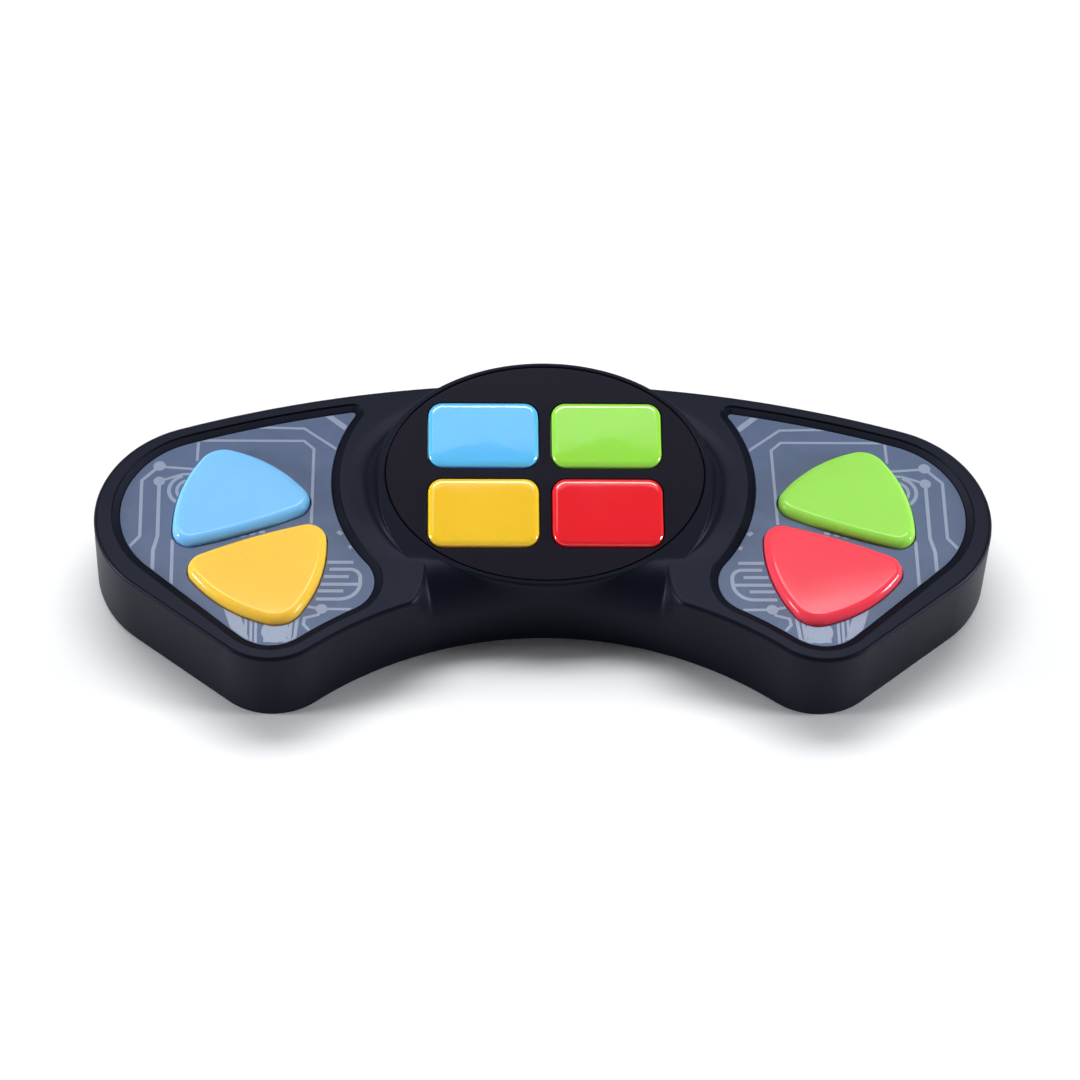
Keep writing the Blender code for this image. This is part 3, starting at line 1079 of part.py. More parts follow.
# Inner wires, each from its solder point to the underside of the display's board.
def wires(assembly, finishes):
    under = MAIN_LOW - GAP - WIRE_RADIUS
    bay_side = BAY_HALF_LENGTH + BAY_WALL + GAP + WIRE_RADIUS
    back_row, front_row = CELL_ROWS
    routes = {
        "battery_wire_black": (back_row, -DISPLAY_HALF_WIDTH / 2, WELL_HALF_HEIGHT / 3, "epoxy"),
        "battery_wire_red": (front_row, -DISPLAY_HALF_WIDTH / 2, WELL_HALF_HEIGHT / 8, "red"),
    }
    for name, (row, x, up, finish) in routes.items():
        end = on_display(x, up, under)
        start = (-bay_side, row, CELL_Z)
        roof = BAY_ROOF + BAY_WALL + GAP + WIRE_RADIUS
        rise = (-bay_side, row - CELL_RADIUS / 4, roof)
        above = ((x - bay_side) / 2, (row + end[1]) / 2, end[2] - WIRE_RADIUS)
        tube_path([start, rise, above, end], WIRE_RADIUS, assembly, name, finishes[finish])
    top = COVER_THICKNESS + GAP + SPEAKER_HEIGHT + GAP + WIRE_RADIUS
    for side, finish in ((LEFT, "epoxy"), (RIGHT, "red")):
        name = "speaker_wire_black" if side < 0 else "speaker_wire_red"
        x = side * SPEAKER_RADIUS / 3
        end = on_display(side * SPEAKER_RADIUS * 0.7, -WELL_HALF_HEIGHT * 0.62, under)
        start = (x, SPEAKER_Y, top)
        middle = ((x + end[0]) / 2, (SPEAKER_Y + end[1]) / 2, (top + end[2]) / 2)
        tube_path([start, middle, end], WIRE_RADIUS, assembly, name, finishes[finish])
    switch_top = COVER_THICKNESS + GAP + SWITCH_HEIGHT + GAP + WIRE_RADIUS
    end = on_display(-WELL_HALF_WIDTH * 0.55, -WELL_HALF_HEIGHT * 0.5, under)
    start = (SWITCH_X, SWITCH_Y, switch_top)
    middle = ((SWITCH_X + end[0]) / 2, (SWITCH_Y + end[1]) / 2, (switch_top + end[2]) / 2)
    tube_path([start, middle, end], WIRE_RADIUS, assembly, "switch_wire", finishes["red"])
    for side in (LEFT, RIGHT):
        name = f"key_lead_{'left' if side < 0 else 'right'}"
        board_edge = side * (KEY_BOARD_CORNERS[0][0] + KEY_BOARD_CORNERS[3][0]) / 2
        low = KEY_BOARD_TOP - BOARD_THICKNESS - GAP - LEAD_RADIUS
        start = (board_edge, KEY_BOARD_CORNERS[0][1] - 2 * KEY_BOARD_CORNER_RADIUS, low)
        end = on_display(side * WELL_HALF_WIDTH * 0.72, -WELL_HALF_HEIGHT * 0.3, MAIN_LOW - GAP - LEAD_RADIUS)
        knee = (side * (WELL_HALF_WIDTH + FLARE_WIDTH), end[1] / 2, low)
        rise = (side * WELL_HALF_WIDTH, end[1], (low + end[2]) / 2)
        tube_path([start, knee, rise, end], LEAD_RADIUS, assembly, name, finishes["epoxy"], 4)


def build():
    clear_scene()
    assembly = place("game", None, None)
    display = place("display_frame", None, assembly)
    display.location = (0.0, 0.0, DISPLAY_HEIGHT)
    display.rotation_euler = (LEAN, 0.0, 0.0)
    finishes = {
        "case": material("satin_black_case", (0.012, 0.012, 0.015), 0.42),
        "cover": material("black_back_cover", (0.014, 0.014, 0.016), 0.5),
        "inlay": material("printed_inlay", (0.12, 0.145, 0.19), 0.32),
        "blue": material("blue_plastic", (0.12, 0.50, 0.90), 0.16),
        "yellow": material("yellow_plastic", (0.98, 0.55, 0.03), 0.16),
        "green": material("green_plastic", (0.34, 0.80, 0.10), 0.16),
        "red": material("red_plastic", (0.82, 0.03, 0.04), 0.16),
        "board": material("green_circuit_board", (0.02, 0.16, 0.07), 0.4),
        "baffle": material("white_light_baffle", (0.8, 0.8, 0.78), 0.5),
        "steel": material("plated_steel", (0.62, 0.62, 0.64), 0.28, 1.0),
        "epoxy": material("black_epoxy", (0.01, 0.01, 0.01), 0.3),
        "rubber": material("grey_silicone_rubber", (0.35, 0.36, 0.38), 0.65),
        "cell": material("cell_jacket", (0.10, 0.10, 0.12), 0.3),
        "cone": material("paper_cone", (0.05, 0.05, 0.05), 0.8),
        "knob": material("black_slider_knob", (0.02, 0.02, 0.02), 0.4),
    }
    front_shell(assembly, display, finishes["case"])
    back_cover(assembly, finishes["cover"])
    battery_door(assembly, finishes["cover"])
    for side in (LEFT, RIGHT):
        for number, (x, y) in enumerate(SCREW_PLACES, 1):
            name = f"housing_screw_{'left' if side < 0 else 'right'}_{number}"
            screw(name, assembly, finishes["steel"], (side * x, y), SCREW_SINK, SCREW_LENGTH)
    door_screw_length = DOOR_BLOCK_LOW + DOOR_SCREW_ENGAGED - DOOR_SCREW_SINK - SCREW_HEAD_HEIGHT
    screw("battery_door_screw", assembly, finishes["steel"], DOOR_SCREW, DOOR_SCREW_SINK, door_screw_length)
    wings(assembly, finishes)
    display_module(display, finishes)
    power_parts(assembly, finishes)
    speaker_parts(assembly, finishes)
    switch_parts(assembly, finishes)
    wires(assembly, finishes)
    assembly.location.y = -(CROWN_Y + TIP[1] - TIP_RADIUS) / 2


build()
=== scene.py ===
"""Electronic memory game, dressed for its picture in the order in which the real one is put together.

Shapes are drawn in millimetres in the case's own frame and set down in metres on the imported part.
"""

import math

import bmesh
import bpy
import numpy as np
from mathutils import Matrix, Vector
from mathutils.geometry import delaunay_2d_cdt


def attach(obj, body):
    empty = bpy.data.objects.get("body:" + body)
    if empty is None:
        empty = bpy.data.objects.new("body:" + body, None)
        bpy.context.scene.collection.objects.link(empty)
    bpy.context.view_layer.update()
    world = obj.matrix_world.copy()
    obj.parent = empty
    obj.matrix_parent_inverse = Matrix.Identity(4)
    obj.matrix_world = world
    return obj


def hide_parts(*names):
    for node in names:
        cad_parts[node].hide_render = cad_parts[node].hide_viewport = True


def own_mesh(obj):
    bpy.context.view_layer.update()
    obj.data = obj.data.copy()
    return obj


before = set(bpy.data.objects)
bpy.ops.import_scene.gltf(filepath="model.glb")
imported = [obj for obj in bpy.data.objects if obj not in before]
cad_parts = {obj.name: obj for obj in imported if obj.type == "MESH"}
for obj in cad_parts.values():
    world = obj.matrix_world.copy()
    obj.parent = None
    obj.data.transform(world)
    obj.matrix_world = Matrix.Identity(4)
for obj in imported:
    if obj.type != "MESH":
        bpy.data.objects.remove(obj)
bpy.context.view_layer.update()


# The photographer's table: a pale sheet under the game, soft lamps over it, and the camera
# at the photograph's angle. None of it belongs to the game.
class Value:
    """A node's output. Sums written with it add their Math nodes."""

    def __init__(self, nodes, socket):
        self.nodes = nodes
        self.socket = socket

    def math(self, operation, first, second):
        return self.nodes.node("ShaderNodeMath", {"operation": operation}, {0: first, 1: second})

    def __add__(self, other):
        return self.math("ADD", self, other)

    def __radd__(self, other):
        return self.math("ADD", other, self)

    def __sub__(self, other):
        return self.math("SUBTRACT", self, other)

    def __rsub__(self, other):
        return self.math("SUBTRACT", other, self)

    def __mul__(self, other):
        return self.math("MULTIPLY", self, other)

    def __rmul__(self, other):
        return self.math("MULTIPLY", other, self)

    def __gt__(self, other):
        return self.math("GREATER_THAN", self, other)


class Nodes:
    """The node tree of a material or of the world, and the one way to add a node to it."""

    def __init__(self, owner):
        owner.use_nodes = True
        self.owner = owner
        self.tree = owner.node_tree

    def feed(self, socket, value):
        if isinstance(value, Value):
            self.tree.links.new(value.socket, socket)
        elif socket.type == "RGBA":
            socket.default_value = (*value, 1.0)
        else:
            socket.default_value = value

    def node(self, kind, settings=None, sockets=None, output=0):
        made = self.tree.nodes.new(kind)
        for key, setting in (settings or {}).items():
            setattr(made, key, setting)
        for key, value in (sockets or {}).items():
            self.feed(made.inputs[key], value)
        return Value(self, made.outputs[output])

    def set(self, name, sockets):
        for key, value in sockets.items():
            self.feed(self.tree.nodes[name].inputs[key], value)

    def mix(self, share, first, second):
        sockets = {0: share, 6: first, 7: second}
        return self.node("ShaderNodeMix", {"data_type": "RGBA"}, sockets, 2)

    def span(self, value, low, high, start=0.0, end=1.0):
        sockets = {"Value": value, 1: low, 2: high, 3: start, 4: end}
        return self.node("ShaderNodeMapRange", {"interpolation_type": "SMOOTHSTEP"}, sockets)

    def at(self):
        return self.node("ShaderNodeTexCoord", output="Object")

    def noise(self, at, scale, detail=2.0, roughness=0.5):
        sockets = {"Vector": at, "Scale": scale, "Detail": detail, "Roughness": roughness}
        return self.node("ShaderNodeTexNoise", None, sockets)

    def height(self, node):
        return self.node("ShaderNodeSeparateXYZ", None, {0: node}, 2)


def finish(name, colour, roughness, **constants):
    made = Nodes(bpy.data.materials.new(name))
    made.set("Principled BSDF", {"Base Color": colour, "Roughness": roughness})
    made.set("Principled BSDF", {key.replace("_", " "): value for key, value in constants.items()})
    return made


def bumps(made, height, depth, strength=1.0):
    sockets = {"Strength": strength, "Distance": depth, "Height": height}
    made.set("Principled BSDF", {"Normal": made.node("ShaderNodeBump", None, sockets)})


sheet = finish("pale_paper", (0.96, 0.96, 0.96), 0.8, Specular_IOR_Level=0.1)
fibre = sheet.noise(sheet.at(), 900.0, 3.0)
sheet.set("Principled BSDF", {"Base Color": sheet.mix(fibre, (0.95, 0.95, 0.95), (0.97, 0.97, 0.97))})
bumps(sheet, fibre, 0.00002)
bm = bmesh.new()
bmesh.ops.create_circle(bm, cap_ends=True, segments=128, radius=0.75)
floor_mesh = bpy.data.meshes.new("floor")
bm.to_mesh(floor_mesh)
bm.free()
floor = bpy.data.objects.new("floor", floor_mesh)
floor.location.z = -0.0003
floor.data.materials.append(sheet.owner)
bpy.context.scene.collection.objects.link(floor)

world = bpy.data.worlds.new("studio")
bpy.context.scene.world = world
studio = Nodes(world)
rise = studio.height(studio.node("ShaderNodeTexCoord", output="Generated"))
wall = studio.mix(studio.span(rise, 0.135, 0.18), (1.0, 1.0, 1.0), (0.035, 0.036, 0.042))
studio.set("Background", {"Color": wall})

# Each lamp is its place, width, height, power and colour.
LAMPS = {
    "softbox_above": ((-0.04, 0.513, 1.085), 1.50, 0.81, 4.5, (0.99, 0.995, 1.0)),
    "softbox_core": ((-0.04, 0.527, 1.056), 1.10, 0.340, 9.8, (0.99, 0.995, 1.0)),
    "softbox_left": ((-1.05, -0.14, 0.24), 0.26, 0.16, 10.0, (0.93, 0.97, 1.0)),
    "softbox_right": ((1.05, -0.14, 0.24), 0.26, 0.16, 10.0, (0.93, 0.97, 1.0)),
    "front_fill": ((0.0, -1.15, 0.42), 0.90, 0.12, 0.4, (1.0, 1.0, 1.0)),
}
for name, (spot, width, height, power, colour) in LAMPS.items():
    lamp = bpy.data.lights.new(name, "AREA")
    lamp.shape, lamp.size, lamp.size_y = "RECTANGLE", width, height
    lamp.energy, lamp.color = power, colour
    holder = bpy.data.objects.new(name, lamp)
    holder.location = spot
    holder.rotation_euler = (-Vector(spot)).to_track_quat("-Z", "Y").to_euler()
    bpy.context.scene.collection.objects.link(holder)

EYE = Vector((-0.026715, -0.448121, 0.570225))
TURN, RISE, ROLL = (math.radians(angle) for angle in (-3.2871, 51.1998, 2.729))
back = Vector((math.sin(TURN) * math.cos(RISE), -math.cos(TURN) * math.cos(RISE), math.sin(RISE)))
right = Vector((math.cos(TURN), math.sin(TURN), 0.0))
upward = back.cross(right)
across = math.cos(ROLL) * right + math.sin(ROLL) * upward
upward = math.cos(ROLL) * upward - math.sin(ROLL) * right
lens = bpy.data.cameras.new("camera")
lens.sensor_width, lens.lens = 36.0, 98.538
lens.clip_start, lens.clip_end = 0.05, 20.0
camera = bpy.data.objects.new("camera", lens)
camera.matrix_world = Matrix.Translation(EYE) @ Matrix((across, upward, back)).transposed().to_4x4()
bpy.context.scene.collection.objects.link(camera)
bpy.context.scene.camera = camera
bpy.context.scene.view_settings.view_transform = "Standard"


# Front shell: one moulding of black ABS with a fine spark texture. The oval collar leans back
# out of a hollow, a wing with a sunk seat lies on each side, and the front edge rolls over.
CROWN, CROWN_RADIUS = (0.0, -233.5), 268.0
ARCH, ARCH_RADIUS = (0.0, -117.5), 88.6
END_X, END_RADIUS = 79.7, 28.2
TIP_X, TIP_RADIUS = 64.6, 15.7
SEAT_END_X, SEAT_END_RADIUS, RIM = 79.2, 22.7, 4.8
END = (END_X, CROWN[1] + math.sqrt((CROWN_RADIUS - END_RADIUS) ** 2 - END_X**2))
SEAT_END_REACH = CROWN_RADIUS - RIM - SEAT_END_RADIUS
SEAT_END = (SEAT_END_X, CROWN[1] + math.sqrt(SEAT_END_REACH**2 - SEAT_END_X**2))
TIP = (TIP_X, ARCH[1] + math.sqrt((ARCH_RADIUS + TIP_RADIUS) ** 2 - TIP_X**2))
BOW, BOW_RADIUS, HORN_RADIUS, LOW_RADIUS = (10.2, 3.6), 41.2, 1.0, 9.2
TOP, EDGE, ROLL_OVER, WALL, DRAFT = 21.0, 1.0, 12.0, 2.2, 0.6
LEAN, DISPLAY_HEIGHT = math.radians(17.0), 27.6
DISPLAY_HALF_WIDTH, DISPLAY_HALF_HEIGHT = 38.5, 27.9
PLAN_HALF_HEIGHT = DISPLAY_HALF_HEIGHT * math.cos(LEAN)
MEET_Y = (TOP - DISPLAY_HEIGHT) / math.tan(LEAN)
INLAY_TOP, SEAT_FLOOR, CEILING = 20.0, 19.3, 17.5
SHIFT_TO_MIDDLE = 8.407
METRES = Matrix.Scale(0.001, 4) @ Matrix.Translation((0.0, SHIFT_TO_MIDDLE, 0.0))
LEANING = Matrix.Translation((0.0, 0.0, DISPLAY_HEIGHT)) @ Matrix.Rotation(LEAN, 4, "X")


def polar(centre, radius, angle):
    return (centre[0] + radius * math.cos(angle), centre[1] + radius * math.sin(angle))


def arc(centre, radius, start, end, count):
    return [polar(centre, radius, start + (end - start) * i / count) for i in range(count + 1)]


def heading(start, end):
    return math.atan2(end[1] - start[1], end[0] - start[0])


def meeting(first, first_radius, second, second_radius, side):
    """Where two circles cross; side +1 lies left of the line from first to second."""
    dx, dy = second[0] - first[0], second[1] - first[1]
    apart = math.hypot(dx, dy)
    along = (first_radius**2 - second_radius**2 + apart**2) / (2 * apart)
    off = side * math.sqrt(max(first_radius**2 - along**2, 0.0))
    return (first[0] + (along * dx - off * dy) / apart, first[1] + (along * dy + off * dx) / apart)


def mirrored(points):
    return [(-x, y) for x, y in reversed(points)]


FLANK = heading(TIP, END) - math.acos((TIP_RADIUS - END_RADIUS) / math.dist(TIP, END))
SEAT_SWING = math.acos((TIP_RADIUS - RIM - SEAT_END_RADIUS) / math.dist(TIP, SEAT_END))
SEAT_FLANK = heading(TIP, SEAT_END) - SEAT_SWING


def case_outline(inset):
    """The case's outline, drawn in by inset."""
    points = arc(CROWN, CROWN_RADIUS - inset, math.pi / 2, heading(CROWN, END), 44)
    points += arc(END, END_RADIUS - inset, heading(CROWN, END), FLANK, 40)[1:]
    points += arc(TIP, TIP_RADIUS - inset, FLANK, heading(TIP, ARCH), 26)
    points += arc(ARCH, ARCH_RADIUS + inset, heading(ARCH, TIP), math.pi / 2, 44)[1:]
    return points + mirrored(points)[1:-1]


def wing_outline(side, grow):
    """The inlay's outline: horn, crown, end, straight flank, tip, arch, low corner and bow."""
    inset = RIM - grow
    low = meeting(ARCH, ARCH_RADIUS + RIM + LOW_RADIUS, BOW, BOW_RADIUS + LOW_RADIUS, -1)
    horn = meeting(CROWN, CROWN_RADIUS - RIM - HORN_RADIUS, BOW, BOW_RADIUS + HORN_RADIUS, -1)
    points = arc(horn, HORN_RADIUS + grow, heading(horn, BOW), heading(CROWN, horn) - math.tau, 14)
    points += arc(CROWN, CROWN_RADIUS - inset, heading(CROWN, horn), heading(CROWN, SEAT_END), 26)[1:]
    points += arc(SEAT_END, SEAT_END_RADIUS + grow, heading(CROWN, SEAT_END), SEAT_FLANK, 36)[1:]
    points += arc(TIP, TIP_RADIUS - inset, SEAT_FLANK, heading(TIP, ARCH), 20)
    points += arc(ARCH, ARCH_RADIUS + inset, heading(ARCH, TIP), heading(ARCH, low), 14)[1:]
    points += arc(low, LOW_RADIUS + grow, heading(low, ARCH), heading(low, BOW) - math.tau, 20)[1:]
    points += arc(BOW, BOW_RADIUS - grow, heading(BOW, low), heading(BOW, horn), 40)[1:-1]
    return points if side > 0 else mirrored(points)


WING_ROOM = SEAT_END[0] + SEAT_END_RADIUS - BOW[0] - BOW_RADIUS
WING_HEIGHT = SEAT_END[1] + SEAT_END_RADIUS + RIM - TIP[1] + TIP_RADIUS
KEY_X_SHARE, KEY_Y_SHARE = 0.3792, 0.1064
KEY_X = BOW[0] + BOW_RADIUS + KEY_X_SHARE * WING_ROOM
KEY_Y = SEAT_END[1] - KEY_Y_SHARE * WING_HEIGHT
KEY_CORNER_SHARES = ((0.1394, 0.2718, 0.0907), (-0.1885, 0.1439, 0.0633), (0.2756, 0.0195, 0.0610))
KEY_SIDE_SHARES = (0.4807, 1.927, 0.5041)
KEYS = {"blue": (-1, False), "yellow": (-1, True), "green": (1, False), "red": (1, True)}


def key_outline(side, lower, grow, corner_steps=16, side_steps=14):
    """A thumb key's outline: three corner circles joined by bowed sides."""
    corners = []
    for across, along, radius in KEY_CORNER_SHARES:
        x, y = KEY_X + across * WING_ROOM, KEY_Y + along * WING_HEIGHT
        corners.append((x, y, radius * WING_HEIGHT))
    radii = [share * WING_HEIGHT for share in KEY_SIDE_SHARES]
    points, bows = [], []
    for k, (*here, radius) in enumerate(corners):
        *there, next_radius = corners[(k + 1) % 3]
        bows.append(meeting(here, radii[k] - radius, there, radii[k] - next_radius, 1))
    for k, (x, y, radius) in enumerate(corners):
        start, end = heading(bows[k - 1], (x, y)), heading(bows[k], (x, y))
        end += math.tau if end < start else 0.0
        points += arc((x, y), radius + grow, start, end, corner_steps)
        far = heading(bows[k], corners[(k + 1) % 3][:2])
        far += math.tau if far < end else 0.0
        points += arc(bows[k], radii[k] + grow, end, far, side_steps)[1:-1]
    if lower:
        points = [(2 * KEY_X - x, 2 * KEY_Y - y) for x, y in points]
    return points if side > 0 else mirrored(points)


def oval(inset, count=160):
    """The display's oval, drawn in by inset and lying flat."""
    wide, high = DISPLAY_HALF_WIDTH - inset, DISPLAY_HALF_HEIGHT - inset
    turn = [math.tau * i / count for i in range(count)]
    return [(wide * math.cos(a), high * math.sin(a)) for a in turn]


NEAR, FAR = 1e-6, 99.0


def smooth(value):
    value = np.clip(value, 0.0, 1.0)
    return value * value * (3.0 - 2.0 * value)


def rounded(distance, radius):
    """How far a rounded edge has dropped at this distance inside the outline."""
    reach = radius - np.clip(distance, 0.0, radius)
    return radius - np.sqrt(radius**2 - reach**2)


def within(x, y, centre, first, last):
    """Whether a point lies in the sector between two angles, seen from the centre."""
    angle = np.arctan2(y - centre[1], x - centre[0])
    return (angle <= first + NEAR) & (angle >= last - NEAR)


def edge_distance(x, y):
    """Distance inside the case's outline, taken from the arc or side that lies nearest."""
    x = np.abs(x)
    crown = CROWN_RADIUS - np.hypot(x - CROWN[0], y - CROWN[1])
    end = END_RADIUS - np.hypot(x - END[0], y - END[1])
    tip = TIP_RADIUS - np.hypot(x - TIP[0], y - TIP[1])
    arch = np.hypot(x - ARCH[0], y - ARCH[1]) - ARCH_RADIUS
    out, along = (math.cos(FLANK), math.sin(FLANK)), (-math.sin(FLANK), math.cos(FLANK))
    flank = END_RADIUS + out[0] * (END[0] - x) + out[1] * (END[1] - y)
    place = along[0] * (x - TIP[0]) + along[1] * (y - TIP[1])
    length = along[0] * (END[0] - TIP[0]) + along[1] * (END[1] - TIP[1])
    far = np.full_like(x, FAR)
    nearest = np.where(within(x, y, CROWN, math.pi, heading(CROWN, END)), crown, far)
    nearest = np.minimum(nearest, np.where(within(x, y, END, heading(CROWN, END), FLANK), end, far))
    nearest = np.minimum(nearest, np.where((place >= -NEAR) & (place <= length + NEAR), flank, far))
    nearest = np.minimum(nearest, np.where(within(x, y, TIP, FLANK, heading(TIP, ARCH)), tip, far))
    at_arch = within(x, y, ARCH, math.pi, heading(ARCH, TIP))
    return np.minimum(nearest, np.where(at_arch, arch, far))


# The collar's wall outside the display: at its sides, at its upper or lower end, and how square
# its oval is, where 2 is a plain ellipse.
UPPER_COLLAR, LOWER_COLLAR, NOSE_COLLAR = (1.7, 1.0, 2.0), (1.7, 4.1, 2.5), (1.3, 1.3, 2.0)
LIP, FLARE, NOSE_FLARE = 0.45, 8.0, 4.0
SHOULDER_X, SHOULDER_BLEND = 29.3, 6.0
HOLLOW_X, HOLLOW_Y, HOLLOW_RADIUS, HOLLOW_DEPTH, HOLLOW_SLOPE = 21.0, 2.1, 27.0, 2.0, 7.5
NOSE_BLEND = 3.0


def oval_reach(angle, side_wall, end_wall, power):
    wide = np.abs(np.cos(angle)) / (DISPLAY_HALF_WIDTH + side_wall)
    high = np.abs(np.sin(angle)) / (PLAN_HALF_HEIGHT + end_wall)
    return (wide**power + high**power) ** (-1.0 / power)


def collar_reach(angle, front):
    """Distance in plan from the display's centre to the collar's edge."""
    upper, lower = oval_reach(angle, *UPPER_COLLAR), oval_reach(angle, *LOWER_COLLAR)
    behind = np.where(np.sin(angle) >= 0.0, upper, lower)
    return np.where(front, oval_reach(angle, *NOSE_COLLAR), behind)


def key_side(x, y):
    """Height of the case's key side: rounded edges, hollow, and the collar's flare."""
    to_arch = np.hypot(x - ARCH[0], y - ARCH[1]) - ARCH_RADIUS
    widening = np.clip(1.0 - to_arch / ROLL_OVER, 0.0, 1.0) ** 2
    spread = EDGE + (SHOULDER_BLEND - EDGE) * widening
    roll = EDGE + (ROLL_OVER - EDGE) * smooth((SHOULDER_X - np.abs(x)) / spread + 0.5)
    fall = np.maximum(rounded(edge_distance(x, y), EDGE), rounded(to_arch, roll))
    inside = HOLLOW_RADIUS - np.hypot(np.abs(x) - HOLLOW_X, y - HOLLOW_Y)
    dip = HOLLOW_DEPTH * smooth(inside / HOLLOW_SLOPE) * smooth((y - MEET_Y) / NOSE_BLEND)
    ground = TOP - fall - dip
    front = y < MEET_Y
    beyond = np.hypot(x, y) - collar_reach(np.arctan2(y, x), front)
    lift = np.maximum(DISPLAY_HEIGHT + y * math.tan(LEAN) - ground, 0.0)
    lip = np.minimum(LIP, 0.5 * lift)
    left = 1.0 - np.clip(beyond / np.where(front, NOSE_FLARE, FLARE), 0.0, 1.0)
    flared = (lift - lip) * (1.0 - np.sqrt(1.0 - left**2))
    over = np.clip(beyond + lip, 0.0, None) / np.maximum(lip, NEAR / 1000)
    rim = lift - lip * (1.0 - np.sqrt(np.clip(1.0 - over**2, 0.0, 1.0)))
    return ground + np.where(beyond > 0.0, flared, rim)


def loft(levels, place=None):
    """A closed solid through outlines of one point count, given as (points, height)."""
    made = bmesh.new()
    rings = [[made.verts.new((x, y, z)) for x, y in points] for points, z in levels]
    for low, high in zip(rings, rings[1:]):
        for i in range(len(low)):
            j = (i + 1) % len(low)
            made.faces.new((low[i], low[j], high[j], high[i]))
    made.faces.new(rings[0][::-1])
    made.faces.new(rings[-1])
    if place is not None:
        made.transform(place)
    return made


def prism(points, low, high, place=None):
    return loft([(points, low), (points, high)], place)


def turned(profile, centre=(0.0, 0.0), sides=48, place=None):
    """A solid turned about a vertical axis. The profile is (radius, height) from the axis and back."""
    made = bmesh.new()
    rows = []
    for radius, z in profile:
        if radius == 0.0:
            rows.append([made.verts.new((*centre, z))] * sides)
            continue
        turn = [math.tau * (i + 0.5) / sides for i in range(sides)]
        rows.append([made.verts.new((*polar(centre, radius, a), z)) for a in turn])
    pairs = list(zip(rows, rows[1:]))
    if profile[0][0] != 0.0:
        pairs.append((rows[-1], rows[0]))
    for low, high in pairs:
        for i in range(sides):
            j = (i + 1) % sides
            corners = list(dict.fromkeys((low[i], low[j], high[j], high[i])))
            if len(corners) > 2:
                made.faces.new(corners)
    if place is not None:
        made.transform(place)
    return made


def cylinder(centre, radius, low, high, sides=32, place=None):
    return turned([(0.0, low), (radius, low), (radius, high), (0.0, high)], centre, sides, place)


def together(parts):
    """Several closed meshes that don't touch, as one."""
    whole = bmesh.new()
    for part in parts:
        data = bpy.data.meshes.new("part")
        part.to_mesh(data)
        part.free()
        whole.from_mesh(data)
        bpy.data.meshes.remove(data)
    return whole


def combine(base, operation, *tools):
    """Cuts closed meshes from a base, or joins or crosses them with it."""
    for tool in tools:
        pair = []
        for shape in (base, tool):
            bmesh.ops.recalc_face_normals(shape, faces=shape.faces)
            data = bpy.data.meshes.new("part")
            shape.to_mesh(data)
            shape.free()
            pair.append(bpy.data.objects.new("part", data))
            bpy.context.scene.collection.objects.link(pair[-1])
        step = pair[0].modifiers.new("step", "BOOLEAN")
        step.operation, step.solver, step.object = operation, "EXACT", pair[1]
        done = pair[0].evaluated_get(bpy.context.evaluated_depsgraph_get())
        base = bmesh.new()
        base.from_mesh(done.to_mesh())
        for thing in pair:
            data = thing.data
            bpy.data.objects.remove(thing)
            bpy.data.meshes.remove(data)
    return base


def piece(name, shape, look, nodes, body="game", sharp=32.0, place=METRES):
    """A finished piece, set down in metres, which stands for CAD nodes and rides on a body."""
    shape.transform(place)
    bmesh.ops.recalc_face_normals(shape, faces=shape.faces)
    data = bpy.data.meshes.new(name)
    shape.to_mesh(data)
    shape.free()
    data.shade_smooth()
    data.set_sharp_from_angle(angle=math.radians(sharp))
    data.materials.append(look.owner)
    made = bpy.data.objects.new(name, data)
    bpy.context.scene.collection.objects.link(made)
    even = made.modifiers.new("even_shading", "WEIGHTED_NORMAL")
    even.keep_sharp = True
    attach(made, body)
    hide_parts(*nodes)
    return made


def moulded(name, colour, roughness, grain, depth, **constants):
    """Moulded plastic: slow changes of tone and polish, and the fine texture of its mould."""
    made = finish(name, colour, roughness, **constants)
    at = made.at()
    slow = made.noise(at, 38.0, 4.0, 0.55)
    fine = made.noise(at, grain, 2.0)
    dull = tuple(channel * 0.90 for channel in colour)
    made.set("Principled BSDF", {"Base Color": made.mix(slow, dull, colour)})
    polish = roughness + (slow - 0.5) * 0.10 + (fine - 0.5) * 0.05
    made.set("Principled BSDF", {"Roughness": polish})
    bumps(made, fine, depth)
    return made


def satin(sheen):
    """Settings of a black moulding that mirrors little, and that little in a bluish tint."""
    return {"Specular_IOR_Level": 0.12, "Specular_Tint": sheen}


CASE_BLACK, CASE_SHEEN = (0.0042, 0.0048, 0.0094), (0.62, 0.68, 1.0)
black_case = moulded("satin_black_abs", CASE_BLACK, 0.42, 3800.0, 0.000012, **satin(CASE_SHEEN))


SHOULDER_STEPS, CLEAR_OF_ARCH = (0.2, 0.4, 0.7, 1.1, 1.5, 2.0, 2.5, 3.0), 0.12


